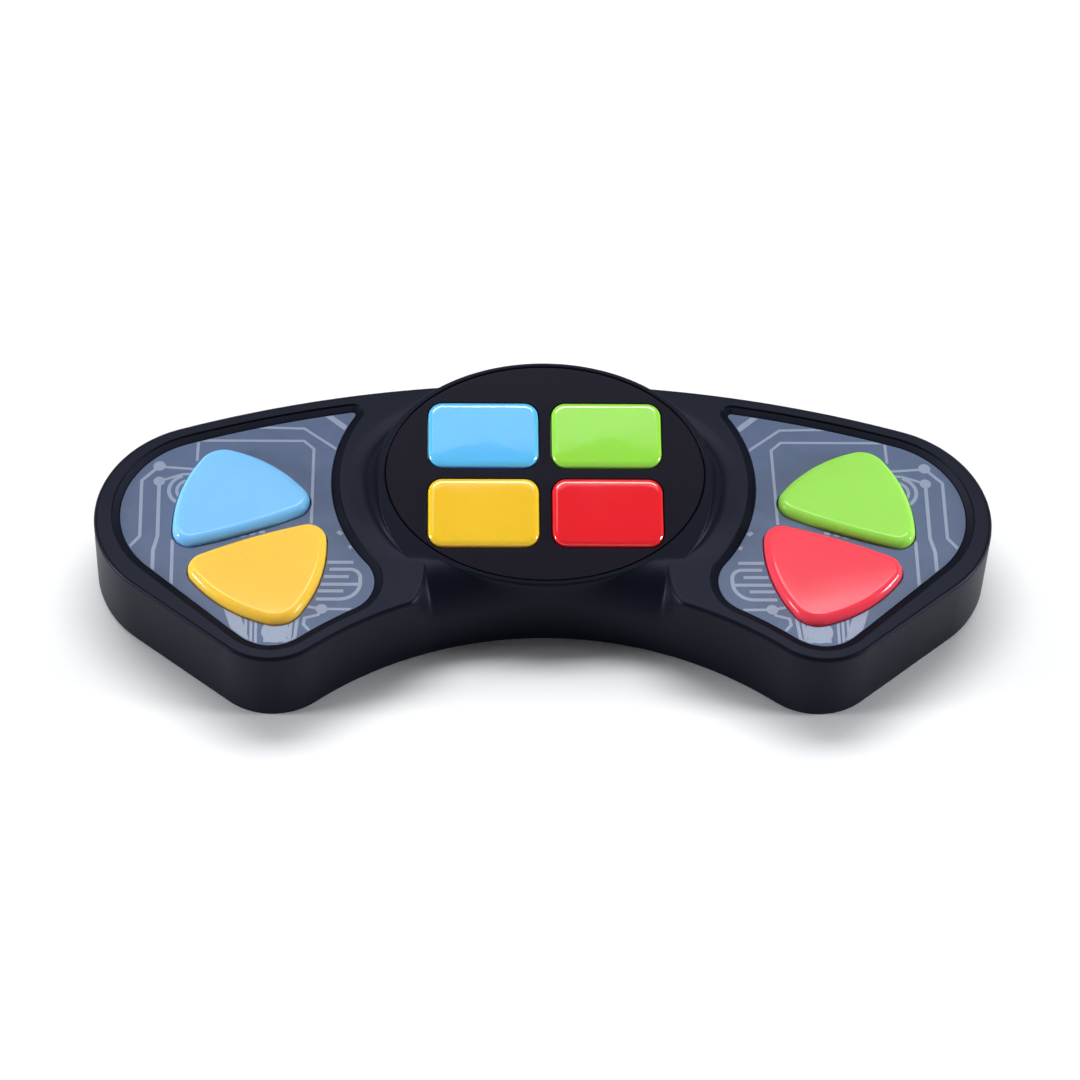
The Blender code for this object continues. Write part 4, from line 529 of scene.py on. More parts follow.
def blank():
    """The case as a closed solid, before anything is cut out of it.

    The key side is one height field over lines laid along every edge and flare.
    """
    points, edges = [], []

    def line(run, closed=False):
        start = len(points)
        points.extend(run)
        edges.extend((start + i, start + i + 1) for i in range(len(run) - 1))
        if closed:
            edges.append((start + len(run) - 1, start))

    def inner(run):
        kept = []
        for x, y in [*run, (0.0, FAR)]:
            inside = math.dist((x, y), CROWN) < CROWN_RADIUS - EDGE
            if inside and math.dist((x, y), ARCH) > ARCH_RADIUS + CLEAR_OF_ARCH:
                kept.append((x, y))
                continue
            if len(kept) > 1:
                line(kept)
            kept = []

    for degrees in (90.0, 75.0, 60.0, 45.0, 32.0, 20.0, 9.0, 0.0):
        line(case_outline(EDGE * (1.0 - math.sin(math.radians(degrees)))), True)
    for degrees in (76.0, 70.0, 64.0, 58.0, 52.0, 46.0, 40.0, 34.0, 28.0, 21.0, 14.0, 7.0, 0.0):
        radius = ARCH_RADIUS + ROLL_OVER * (1.0 - math.sin(math.radians(degrees)))
        swing = math.asin((SHOULDER_X - SHOULDER_STEPS[-1]) / radius)
        line(arc(ARCH, radius, math.pi / 2 + swing, math.pi / 2 - swing, 46))
    for step in (*(-step for step in reversed(SHOULDER_STEPS)), 0.0, *SHOULDER_STEPS):
        x = SHOULDER_X + step
        foot = ARCH[1] + math.sqrt(ARCH_RADIUS**2 - x * x)
        depths = [0.15 + (ROLL_OVER + 0.6) * (i / 20) ** 1.4 for i in range(21)]
        for side in (-1, 1):
            line([(side * x, foot + depth) for depth in depths])
    lip = [LIP * (math.sin(math.radians(a)) - 1.0) for a in (0.0, 18.0, 36.0, 54.0, 72.0, 90.0)]
    flare = [1.0 - math.cos(math.radians(a)) for a in range(4, 92, 4)]
    back_rings = lip + [FLARE * share for share in flare]
    back_rings += [FLARE + past for past in (0.6, 1.3, 2.1, 3.0, 4.0)]
    nose_rings = lip + [NOSE_FLARE * share for share in flare] + [NOSE_FLARE + 0.5]
    for start, front, rings in ((-90.0, False, back_rings), (90.0, True, nose_rings)):
        turn = np.radians(np.linspace(start, start + 360.0, 241))
        for beyond in rings:
            reach = collar_reach(turn, front) + beyond
            run = zip(reach * np.cos(turn), reach * np.sin(turn))
            inner([(x, y) for x, y in run if (y < MEET_Y) == front])

    flat, _, faces, origin, _, _ = delaunay_2d_cdt([Vector(p) for p in points], edges, [], 1, 1e-5)
    plan = np.array(flat)
    heights = key_side(plan[:, 0], plan[:, 1])
    made = bmesh.new()
    verts = [made.verts.new((x, y, z)) for (x, y), z in zip(plan, heights)]
    for corners in faces:
        made.faces.new([verts[i] for i in corners])
    count = len(case_outline(0.0))
    first = {}
    for vert, inputs in zip(verts, origin):
        first.update({i: vert for i in inputs if i < count})
    rings = [[first[i] for i in range(count)]]
    for inset, z in ((0.0, 0.7), (0.05, 0.43), (0.2, 0.2), (0.43, 0.05), (0.7, 0.0)):
        rings.append([made.verts.new((x, y, z)) for x, y in case_outline(inset - DRAFT)])
    for high, low in zip(rings, rings[1:]):
        for i in range(count):
            j = (i + 1) % count
            made.faces.new((high[i], high[j], low[j], low[i]))
    made.faces.new(rings[-1])
    bmesh.ops.delete(made, geom=[v for v in made.verts if not v.link_faces], context="VERTS")
    return made


INNER_BLEND, INNER_DRAW, CUT = 10.0, 4.92, 2.0


def hollow():
    """The shell's inside, drawn back behind the rolled-over front so that its wall stays as thick."""
    edge = case_outline(WALL)
    upper = []
    for x, y in edge:
        reach = math.dist((x, y), ARCH)
        at_arch = reach < ARCH_RADIUS + WALL + 0.3
        share = smooth((SHOULDER_X + INNER_BLEND - abs(x)) / INNER_BLEND) if at_arch else 0.0
        upper.append(polar(ARCH, reach + INNER_DRAW * float(share), heading(ARCH, (x, y))))
    return loft([(edge, -CUT), (edge, TOP - ROLL_OVER), (upper, CEILING)])


def eased(radius, steps=5):
    """Sideways and downward shares of a small rounded edge, from its side up to its top."""
    turn = [math.radians(78.0 * i / steps) for i in range(steps + 1)]
    return [(radius * (1.0 - math.cos(a)), radius * (math.sin(a) - 1.0)) for a in turn]


SEAT_EASE, LEDGE_TOP, LEDGE_LOW, LEDGE_INSET, WELL_INSET = 0.3, -2.55, -4.65, 2.2, 0.7


def seat_cutter():
    """The display's seat: the plate's recess, the ledge that it rests on, and the well below."""
    levels = [(WELL_INSET, -25.0), (WELL_INSET, LEDGE_LOW), (LEDGE_INSET, LEDGE_LOW)]
    levels += [(LEDGE_INSET, LEDGE_TOP), (0.0, LEDGE_TOP)]
    levels += [(-out, down) for out, down in eased(SEAT_EASE)]
    levels.append((-0.75, 0.5))
    return loft([(oval(inset), z) for inset, z in levels], LEANING)


RECESS_GROW = 1.7


def recess_cutter(side):
    """A wing's recess: the film's seat, a sloping bank round it, and an eased upper edge."""
    levels = [(0.0, SEAT_FLOOR), (0.0, INLAY_TOP - 0.08), (0.12, INLAY_TOP + 0.04)]
    levels += [(RECESS_GROW - 0.2, TOP - 0.5), (RECESS_GROW - 0.04, TOP - 0.43), (RECESS_GROW, TOP - 0.34)]
    levels += [(RECESS_GROW + out, TOP + down) for out, down in eased(SEAT_EASE)]
    levels.append((RECESS_GROW + 0.4, TOP + 0.5))
    return loft([(wing_outline(side, grow), z) for grow, z in levels])


def posts(places, radius, low, high):
    """Upright cylinders at the same places in both halves."""
    return together([cylinder((side * x, y), radius, low, high) for side in (-1, 1) for x, y in places])


SCREW_INSET, CROWN_SCREW_X, BORE = 6.6, 41.5, 1.3
SCREW_PLACES = (
    polar(END, END_RADIUS - SCREW_INSET, (heading(CROWN, END) + FLANK) / 2),
    (TIP[0], TIP[1] - TIP_RADIUS + SCREW_INSET),
    (CROWN_SCREW_X, CROWN[1] + math.sqrt((CROWN_RADIUS - SCREW_INSET) ** 2 - CROWN_SCREW_X**2)),
)
KEY_POSTS, POST_TOP, KEY_HOLE_GAP = ((57.02, 7.98), (90.0, -21.99)), 18.4, 0.3
holes = [prism(key_outline(*key, KEY_HOLE_GAP), 15.0, TOP + 0.5) for key in KEYS.values()]
shell = combine(blank(), "DIFFERENCE", hollow(), seat_cutter())
shell = combine(shell, "DIFFERENCE", together([recess_cutter(-1), recess_cutter(1)]), together(holes))
bosses = [posts(SCREW_PLACES, 3.0, 4.5, POST_TOP), posts(KEY_POSTS, 2.3, 10.3, POST_TOP)]
bores = [posts(SCREW_PLACES, BORE, 0.0, 10.8), posts(KEY_POSTS, BORE, 0.0, 14.0)]
shell = combine(shell, "UNION", together(bosses))
shell = combine(shell, "DIFFERENCE", together(bores))
piece("front_case", shell, black_case, ["front_shell"])


# Printed inlays: a thin film of hard plastic laid in each wing's seat. It is printed on its
# underside in blue grey, with pale lines like those of a circuit board, drawn here afresh.
film = finish("blue_grey_film", (0.066, 0.106, 0.207), 0.30, Specular_IOR_Level=0.20)
grain = film.noise(film.at(), 260.0, 5.0, 0.65)
cloud = film.noise(film.at(), 30.0, 3.0)
tone = film.mix(grain, (0.049, 0.081, 0.166), (0.087, 0.127, 0.236))
film.set("Principled BSDF", {"Base Color": film.mix(cloud * 0.5, tone, (0.092, 0.130, 0.226))})
film.set("Principled BSDF", {"Roughness": 0.26 + grain * 0.12})
bumps(film, film.noise(film.at(), 2600.0), 0.000006)
ink = finish("pale_ink", (0.205, 0.255, 0.365), 0.34, Specular_IOR_Level=0.45)
speck = ink.noise(ink.at(), 900.0, 4.0, 0.7)
ink.set("Principled BSDF", {"Base Color": ink.mix(speck, (0.175, 0.220, 0.325), (0.24, 0.29, 0.41))})
ink.set("Principled BSDF", {"Roughness": 0.30 + speck * 0.10})
bumps(ink, speck, 0.000004)
COMB_TURN = arc((46.5, -26.4), 2.5, math.pi / 2, math.pi, 8)[1:]
COMB_BEND = arc((48.9, -27.9), 4.9, math.pi, math.pi * 1.5, 12)
# Each printed line of the right wing is a width and its points, and the left wing mirrors them.
LINES = (
    (0.72, ((70.0, 20.3), (58.5, 20.0), (50.0, 13.0))),
    (0.72, ((84.2, 9.5), (84.2, 16.0), (58.5, 16.0), (56.0, 13.5), (56.0, -10.0))),
    (1.5, ((54.0, 25.4), (46.0, 18.0))),
    (0.72, ((93.2, 7.6), (84.0, 6.8))),
    (0.8, ((93.2, 7.8), (97.2, 3.2), (96.6, -14.0), (99.4, -18.0))),
    (0.72, ((93.0, 3.0), (87.5, 5.2), (83.5, 5.5))),
    (0.9, ((93.0, 3.0), (92.4, -14.0), (93.2, -18.3), (93.0, -25.0))),
    (0.8, ((88.8, -15.0), (88.3, -30.0))),
    (0.9, arc((85.9, 0.3), 4.6, math.radians(-70.0), math.radians(70.0), 16)),
    (0.8, arc((85.4, 0.2), 3.2, math.radians(-60.0), math.radians(70.0), 14)),
    (0.9, ((51.9, -21.8), (45.7, -21.8))),
    (0.9, ((52.6, -26.1), (46.7, -26.1))),
    (0.9, ((53.3, -28.4), (44.2, -28.4))),
    (0.9, ((53.9, -30.4), (47.9, -30.4))),
    (0.9, ((51.3, -23.9), (46.5, -23.9), *COMB_TURN, *COMB_BEND, (54.3, -32.8))),
    (0.72, ((56.4, -35.0), (52.9, -35.7), (46.0, -35.8))),
    (0.72, ((52.9, -35.7), (53.6, -37.4), (56.8, -38.4), (57.0, -40.2), (54.8, -43.0))),
    (0.65, ((70.4, -38.5), (70.2, -46.0))),
    (0.65, ((69.2, -38.5), (69.0, -46.0))),
    (0.65, ((68.1, -38.5), (67.9, -46.0))),
    (0.8, ((59.8, -38.0), (60.1, -44.4), (61.6, -46.5))),
    (0.8, ((58.4, -38.0), (58.9, -44.0), (60.2, -46.5))),
    (5.4, ((63.4, -38.0), (63.4, -45.4))),
    (3.2, ((74.6, -34.0), (71.0, -45.0))),
    (0.9, ((75.2, -14.5), (73.9, -14.2))),
    (0.9, ((72.9, -13.9), (71.6, -13.6))),
    (0.9, ((70.6, -13.3), (69.3, -13.0))),
    (0.9, ((68.3, -12.8), (67.0, -12.5))),
    (1.0, ((49.7, -12.4), (48.6, -13.3))),
    (1.1, ((46.9, -17.4), (45.4, -16.7))),
)
DOTS = ((93.2, 7.8, 1.5), (93.0, 3.0, 1.4), (52.9, -35.7, 1.4), (63.4, -42.3, 3.3))
FILM_GAP, FILM_THICKNESS, FILM_EASE, PRINT_MARGIN = 0.15, 0.4, 0.08, 0.2
INK_SUNK, LINE_INK, DOT_INK, INK_STEP = 0.01, 0.020, 0.036, 0.0004


def ribbon(points, width, low, high):
    """A flat printed line with mitred bends, as a closed strip."""
    left, right_side = [], []
    for i, (x, y) in enumerate(points):
        before = points[max(i - 1, 0)]
        after = points[min(i + 1, len(points) - 1)]
        first = heading(before, (x, y)) if i else heading((x, y), after)
        second = heading((x, y), after) if i < len(points) - 1 else first
        half_turn = math.remainder(second - first, math.tau) / 2
        side = first + half_turn + math.pi / 2
        reach = width / 2 / math.cos(half_turn)
        left.append(polar((x, y), reach, side))
        right_side.append(polar((x, y), -reach, side))
    return prism(left + right_side[::-1], low, high)


def key_cutters(side, grow):
    own = [key for key in KEYS.values() if key[0] == side]
    return together([prism(key_outline(*key, grow), 15.0, 25.0) for key in own])


for side, name in ((-1, "left"), (1, "right")):
    edge = wing_outline(side, -FILM_GAP)
    inside = wing_outline(side, -FILM_GAP - FILM_EASE)
    levels = [(edge, INLAY_TOP - FILM_THICKNESS), (edge, INLAY_TOP - FILM_EASE), (inside, INLAY_TOP)]
    film_shape = combine(loft(levels), "DIFFERENCE", key_cutters(side, KEY_HOLE_GAP))
    piece(f"inlay_film_{name}", film_shape, film, [f"inlay_{name}"])
    # Each printed line is cut to the film, so that it ends at the film's edge and key holes.
    print_edge = prism(wing_outline(side, -FILM_GAP - PRINT_MARGIN), 15.5, 24.5)
    reach = combine(print_edge, "DIFFERENCE", key_cutters(side, KEY_HOLE_GAP + FILM_GAP))
    low = INLAY_TOP - INK_SUNK
    printed = bmesh.new()
    for number, (width, points) in enumerate(LINES):
        top = INLAY_TOP + LINE_INK + INK_STEP * number
        strip = ribbon([(side * x, y) for x, y in points], width, low, top)
        printed = together([printed, combine(strip, "INTERSECT", reach.copy())])
    for number, (x, y, radius) in enumerate(DOTS):
        dot = cylinder((side * x, y), radius, low, INLAY_TOP + DOT_INK + INK_STEP * number)
        printed = together([printed, combine(dot, "INTERSECT", reach.copy())])
    reach.free()
    piece(f"circuit_print_{name}", printed, ink, [])


# Thumb keys: glossy coloured ABS, a crowned cap on a flange that the case holds in, with a
# plunger that stands over its rubber dome. Each slides straight down with its own body.
GLOSS = {
    "blue": (0.215, 0.545, 0.940),
    "yellow": (0.970, 0.575, 0.070),
    "green": (0.335, 0.730, 0.098),
    "red": (0.900, 0.062, 0.098),
}


def glossy(name, colour, roughness=0.10, shine=0.15):
    """Polished plastic: faint flow marks in its colour, fine dust in its polish, slight ripples."""
    made = finish(name, colour, roughness, Specular_IOR_Level=shine)
    made.set("Principled BSDF", {"Coat Weight": 0.15, "Coat Roughness": 0.05})
    made.set("Principled BSDF", {"Subsurface Weight": 0.6, "Subsurface Scale": 0.004})
    made.set("Principled BSDF", {"Subsurface Radius": colour})
    at = made.at()
    flow = made.noise(at, 55.0, 3.0, 0.6)
    dust = made.noise(at, 2200.0, 2.0)
    deep = tuple(channel * 0.90 for channel in colour)
    made.set("Principled BSDF", {"Base Color": made.mix(flow, deep, colour)})
    made.set("Principled BSDF", {"Roughness": roughness - 0.03 + flow * 0.05 + (dust > 0.66) * 0.05})
    bumps(made, made.noise(at, 120.0, 1.0), 0.000025)
    return made


def middle_of(points):
    return (sum(x for x, y in points) / len(points), sum(y for x, y in points) / len(points))


def crowned(outline, top, rise, shares):
    """Rings that close an outline in a shallow dome, each a share of the outline's size."""
    mx, my = middle_of(outline)
    rings = []
    for share in shares:
        ring = [(mx + share * (x - mx), my + share * (y - my)) for x, y in outline]
        rings.append((ring, top + rise * (1.0 - share * share)))
    return rings


def key_middle(side, lower):
    return middle_of(key_outline(side, lower, 0.0, 5, 4))


gloss = {colour: glossy(f"glossy_{colour}_abs", GLOSS[colour]) for colour in GLOSS}
KEY_RIM, KEY_ROUNDING, KEY_CROWN = 22.42, 2.1, 0.06
RIM_DEGREES = (12.0, 24.0, 36.0, 46.0, 56.0, 65.0, 74.0)
KEY_RING_SHARES = (0.97, 0.9, 0.8, 0.66, 0.5, 0.34, 0.18, 0.06)
FLANGE_GROW, FLANGE_LOW, FLANGE_TOP = 1.0, 16.0, 17.2
PLUNGER_RADIUS, PLUNGER_LOW = 2.0, 14.476
for colour, (side, lower) in KEYS.items():
    outline = key_outline(side, lower, 0.0)
    flange = key_outline(side, lower, FLANGE_GROW)
    shoulder = KEY_RIM - KEY_ROUNDING * math.sin(math.radians(RIM_DEGREES[-1]))
    levels = [(flange, FLANGE_LOW), (flange, FLANGE_TOP), (outline, FLANGE_TOP + 0.03), (outline, shoulder)]
    for degrees in RIM_DEGREES:
        a = math.radians(degrees)
        ring = key_outline(side, lower, -KEY_ROUNDING * (1.0 - math.cos(a)))
        levels.append((ring, shoulder + KEY_ROUNDING * math.sin(a)))
    levels += crowned(levels[-1][0], KEY_RIM, KEY_CROWN, KEY_RING_SHARES)
    plunger = cylinder(key_middle(side, lower), PLUNGER_RADIUS, PLUNGER_LOW, FLANGE_LOW + 0.6)
    cap = combine(loft(levels), "UNION", plunger)
    piece(f"thumb_key_{colour}", cap, gloss[colour], [f"key_{colour}"], f"key_{colour}")


# Display plate: the same black ABS as the case, moulded flat, with four openings. It drops
# into the collar's seat and leaves a fine dark line round itself.
WINDOW_SPACE, WINDOW_WIDTH, WINDOW_CORNER = 1.6, 26.49, 3.5
UPPER_ROW, LOWER_ROW = (1.25, 16.71), (-19.2, 17.3)
WINDOWS = {
    "blue": (-1, *UPPER_ROW),
    "green": (1, *UPPER_ROW),
    "yellow": (-1, *LOWER_ROW),
    "red": (1, *LOWER_ROW),
}


def rounded_rectangle(x0, y0, x1, y1, radius, steps=6):
    left, right_side = x0 + radius, x1 - radius
    low, high = y0 + radius, y1 - radius
    corners = ((right_side, high), (left, high), (left, low), (right_side, low))
    points = []
    for quarter, centre in enumerate(corners):
        points += arc(centre, radius, quarter * math.pi / 2, (quarter + 1) * math.pi / 2, steps)
    return points


def slab(x0, y0, x1, y1, low, high, radius, ease):
    """A block with rounded corners and eased edges."""
    wide = rounded_rectangle(x0, y0, x1, y1, radius)
    slim = rounded_rectangle(x0 + ease, y0 + ease, x1 - ease, y1 - ease, radius - ease)
    return loft([(slim, low), (wide, low + ease), (wide, high - ease), (slim, high)])


def window_outline(colour, grow):
    side, low, height = WINDOWS[colour]
    x0, x1 = sorted((side * WINDOW_SPACE, side * (WINDOW_SPACE + WINDOW_WIDTH)))
    return rounded_rectangle(x0 - grow, low - grow, x1 + grow, low + height + grow, WINDOW_CORNER + grow, 12)


def along_y(profile, low, high):
    """A profile of (x, height) drawn out along Y."""
    made = prism(profile, low, high)
    for vert in made.verts:
        vert.co = (vert.co.x, vert.co.z, vert.co.y)
    return made


PLATE_GAP, PLATE_LOW, PLATE_TOP, PLATE_EASE = 0.15, -2.25, -0.25, 0.25
PLATE_SCREWS, BOARD_TOP, BOARD_LOW = ((31.2, 0.0),), -10.15, -11.75
ON_DISPLAY = METRES @ LEANING
levels = [(PLATE_GAP, PLATE_LOW), (PLATE_GAP, PLATE_TOP - PLATE_EASE)]
for a in (0.4, 0.8, 1.2, math.pi / 2):
    levels.append((PLATE_GAP + PLATE_EASE * (1 - math.cos(a)), PLATE_TOP - PLATE_EASE * (1 - math.sin(a))))
plate = loft([(oval(inset), z) for inset, z in levels])
cutters = []
for colour in WINDOWS:
    levels = [(window_outline(colour, 0.25), -4.0)]
    levels += [(window_outline(colour, 0.25 + out), PLATE_TOP + down) for out, down in eased(0.2, 3)]
    levels.append((window_outline(colour, 0.6), 0.5))
    cutters.append(loft(levels))
plate = combine(plate, "DIFFERENCE", together(cutters))
fixings = [posts(PLATE_SCREWS, 2.3, BOARD_TOP + 0.3, PLATE_LOW + 1.0)]
for side in (-1, 1):
    outer, inner_x, hook = (side * x for x in (36.0, 34.8, 36.9))
    high, barb, foot = PLATE_LOW + 1.0, LEDGE_LOW - 0.3, LEDGE_LOW - 1.5
    profile = [(inner_x, high), (outer, high), (outer, barb), (hook, barb), (outer, foot), (inner_x, foot)]
    fixings.append(along_y(profile, -2.5, 2.5))
plate = combine(plate, "UNION", together(fixings))
plate = combine(plate, "DIFFERENCE", posts(PLATE_SCREWS, BORE, -12.0, LEDGE_TOP))
PLATE_BLACK, PLATE_SHEEN = (0.0052, 0.0048, 0.0088), (0.75, 0.72, 1.0)
plate_black = moulded("display_black_abs", PLATE_BLACK, 0.40, 3200.0, 0.000008, **satin(PLATE_SHEEN))
piece("display_face", plate, plate_black, ["display_plate"], place=ON_DISPLAY)


# Windows: pillows of clear tinted plastic over the four lights. A flange under the plate
# keeps each one in, and the display's seat trims the flanges at their outer corners.
WELL_GAP = LEDGE_INSET + 0.3
WINDOW_EDGE, WINDOW_ROUNDING, WINDOW_RISE = -0.2, 1.6, 1.05
WINDOW_RING_SHARES = (0.92, 0.82, 0.7, 0.56, 0.42, 0.28, 0.14, 0.05)
TINT = {
    "blue": (0.132, 0.555, 0.980),
    "yellow": (0.990, 0.600, 0.033),
    "green": (0.345, 0.780, 0.077),
    "red": (0.860, 0.020, 0.030),
}
glow = {colour: glossy(f"tinted_{colour}_window", TINT[colour], 0.06, 0.90) for colour in TINT}
for colour in WINDOWS:
    levels = [(window_outline(colour, 0.0), PLATE_LOW)]
    for degrees in (12.0, 24.0, 36.0, 48.0, 60.0, 70.0, 80.0, 90.0):
        a = math.radians(degrees)
        ring = window_outline(colour, -WINDOW_ROUNDING * (1.0 - math.cos(a)))
        levels.append((ring, WINDOW_EDGE + WINDOW_RISE * math.sin(a)))
    levels += crowned(levels[-1][0], WINDOW_EDGE + WINDOW_RISE, 0.03, WINDOW_RING_SHARES)
    flange = prism(window_outline(colour, 0.8), LEDGE_TOP - 1.0, LEDGE_TOP)
    neck = prism(window_outline(colour, 0.0), LEDGE_TOP - 0.5, PLATE_LOW + 0.3)
    rim = combine(combine(flange, "UNION", neck), "INTERSECT", prism(oval(WELL_GAP, 120), -6.0, 2.0))
    lens_shape = combine(loft(levels), "UNION", rim)
    piece(f"light_window_{colour}", lens_shape, glow[colour], [f"window_{colour}"], place=ON_DISPLAY)


# Main circuit board: glass fibre with green lacquer, held by two screws under the light baffle.
# On its back sit the bare game chip under a blob of epoxy and the supply's capacitor.
fibreglass = moulded("green_fibreglass_board", (0.02, 0.15, 0.07), 0.38, 1500.0, 0.00002)
tinned = finish("tinned_steel", (0.62, 0.62, 0.64), 0.28, Metallic=1.0)
scratch = tinned.noise(tinned.at(), 1800.0, 4.0, 0.7)
tinned.set("Principled BSDF", {"Base Color": tinned.mix(scratch, (0.52, 0.52, 0.54), (0.68, 0.68, 0.70))})
tinned.set("Principled BSDF", {"Roughness": 0.22 + scratch * 0.16})
bumps(tinned, scratch, 0.000004)
BOARD_INSET, BOARD_EASE, CHIP_Y, SUPPLY_X = 3.6, 0.2, -6.425, -17.0
levels = [(BOARD_INSET + BOARD_EASE, BOARD_LOW), (BOARD_INSET, BOARD_LOW + BOARD_EASE)]
levels += [(BOARD_INSET, BOARD_TOP - BOARD_EASE), (BOARD_INSET + BOARD_EASE, BOARD_TOP)]
board = loft([(oval(inset), z) for inset, z in levels])
board = combine(board, "DIFFERENCE", posts(PLATE_SCREWS, BORE, -14.0, -8.0))
piece("light_board", board, fibreglass, ["main_board"], place=ON_DISPLAY)
epoxy = moulded("black_epoxy", (0.01, 0.01, 0.01), 0.25, 900.0, 0.00003)
blob = [(0.0, -13.45), (1.2, -13.42), (2.4, -13.28), (3.4, -13.0)]
blob += [(4.1, -12.65), (4.5, -12.3), (4.5, -12.05), (0.0, -12.05)]
piece("chip_blob", turned(blob, (0.0, CHIP_Y)), epoxy, ["game_chip"], place=ON_DISPLAY)
can = [(0.0, -17.05), (1.7, -17.05), (1.95, -16.9), (2.0, -16.7), (2.0, -13.2), (1.84, -13.05)]
can += [(1.84, -12.75), (2.0, -12.6), (2.0, -12.1), (1.9, -12.05), (0.0, -12.05)]
piece("supply_capacitor", turned(can, (SUPPLY_X, CHIP_Y)), tinned, ["capacitor"], place=ON_DISPLAY)


# Lights: a round-topped LED of coloured epoxy under each window, in the window's own colour. Each
# stands on the board with the broad ring at its foot.
def window_middle(colour):
    side, low, height = WINDOWS[colour]
    return (side * (WINDOW_SPACE + WINDOW_WIDTH / 2), low + height / 2)


LED_RADIUS, LED_NECK = 2.5, -7.75
for colour in WINDOWS:
    profile = [(0.0, -9.85), (2.8, -9.85), (2.87, -9.75), (2.87, -9.05), (2.8, -8.95)]
    profile += [(LED_RADIUS, -8.93), (LED_RADIUS, LED_NECK)]
    for a in (0.26, 0.52, 0.79, 1.05, 1.31):
        profile.append((LED_RADIUS * math.cos(a), LED_NECK + LED_RADIUS * math.sin(a)))
    profile.append((0.0, LED_NECK + LED_RADIUS))
    lamp_shape = turned(profile, window_middle(colour))
    piece(f"led_lamp_{colour}", lamp_shape, gloss[colour], [f"led_{colour}"], place=ON_DISPLAY)


# Light baffle: white ABS walls between board and windows, so that no light leaks to its
# neighbour. It is held between the two, with openings for the plate's screw posts and hooks.
white_baffle = moulded("white_baffle_abs", (0.78, 0.78, 0.76), 0.5, 2000.0, 0.00001)
BAFFLE_EASE, WALL_INSET = 0.2, 1.76
levels = ((BAFFLE_EASE, -9.85), (0.0, -9.65), (0.0, -4.05), (BAFFLE_EASE, -3.85))
walls = loft([(oval(WELL_GAP + ease), z) for ease, z in levels])
cells = [prism(window_outline(colour, -WALL_INSET), -12.0, -2.0) for colour in WINDOWS]
notches = [prism(rounded_rectangle(34.5, -2.8, 38.0, 2.8, 0.3), -12.0, -2.0)]
notches.append(prism(rounded_rectangle(-38.0, -2.8, -34.5, 2.8, 0.3), -12.0, -2.0))
post_holes = posts(PLATE_SCREWS, 2.6, -12.0, -2.0)
walls = combine(walls, "DIFFERENCE", together(cells), post_holes, together(notches))
piece("baffle_walls", walls, white_baffle, ["light_baffle"], place=ON_DISPLAY)


# Screws: zinc-plated self-tapping screws with rounded heads and a cross slot, each with the
# thread that cuts its own way into the plastic. They stand head down.
SLOT_REACH, SLOT_HALF, HEAD_HEIGHT = 1.3, 0.27, 1.6


def screw(name, centre, head_low, length, nodes, body="game", place=METRES):
    head_top = head_low + HEAD_HEIGHT
    tip = head_top + length
    profile = [(0.0, head_low), (0.9, head_low + 0.03), (1.6, head_low + 0.16), (2.05, head_low + 0.45)]
    profile += [(2.3, head_low + 0.95), (2.3, head_top - 0.1), (2.2, head_top), (0.8, head_top)]
    z = head_top
    while z < tip - 1.3:
        profile += [(0.8, z + 0.15), (1.0, z + 0.35), (0.8, z + 0.55)]
        z += 0.6
    profile += [(0.7, tip - 0.5), (0.0, tip)]
    x, y = centre
    wide = rounded_rectangle(x - SLOT_REACH, y - SLOT_HALF, x + SLOT_REACH, y + SLOT_HALF, 0.1)
    high = rounded_rectangle(x - SLOT_HALF, y - SLOT_REACH, x + SLOT_HALF, y + SLOT_REACH, 0.1)
    deep, shallow = prism(wide, head_low - 1.0, head_low + 0.95), prism(high, head_low - 1.0, head_low + 0.9)
    shape = combine(turned(profile, centre, 32), "DIFFERENCE", combine(deep, "UNION", shallow))
    piece(name, shape, tinned, nodes, body, place=place)


for side, name in ((-1, "left"), (1, "right")):
    x, y = PLATE_SCREWS[0]
    screw(f"plate_screw_{name}", (side * x, y), -13.65, 8.0, [f"main_board_screw_{name}"], place=ON_DISPLAY)


# Key boards: one of green glass fibre under each wing, screwed to two posts of the shell. Its
# face carries the carbon pads that the domes press on.
CORNER_SHARES = ((-0.268, 0.305), (0.266, 0.222), (0.385, -0.109), (-0.169, -0.261))
BOARD_CORNERS = [(KEY_X + a * WING_ROOM, KEY_Y + b * WING_HEIGHT) for a, b in CORNER_SHARES]
BOARD_CORNER_RADIUS = 4.0


def board_outline(side, grow):
    points = []
    for k, here in enumerate(BOARD_CORNERS):
        start = heading(BOARD_CORNERS[k - 1], here) + math.pi / 2
        end = heading(here, BOARD_CORNERS[(k + 1) % 4]) + math.pi / 2
        end -= math.tau if end > start else 0.0
        points += arc(here, BOARD_CORNER_RADIUS + grow, start, end, 12)
    return points if side > 0 else mirrored(points)


for side, name in ((-1, "left"), (1, "right")):
    levels = ((-0.2, 8.4), (0.0, 8.6), (0.0, 9.8), (-0.2, 10.0))
    board = loft([(board_outline(side, grow), z) for grow, z in levels])
    bores = [cylinder((side * x, y), BORE, 7.0, 11.0) for x, y in KEY_POSTS]
    board = combine(board, "DIFFERENCE", together(bores))
    piece(f"wing_board_{name}", board, fibreglass, [f"key_board_{name}"])
    for number, (x, y) in enumerate(KEY_POSTS, 1):
        screw(f"board_screw_{name}_{number}", (side * x, y), 6.5, 5.6, [f"key_board_screw_{name}_{number}"])


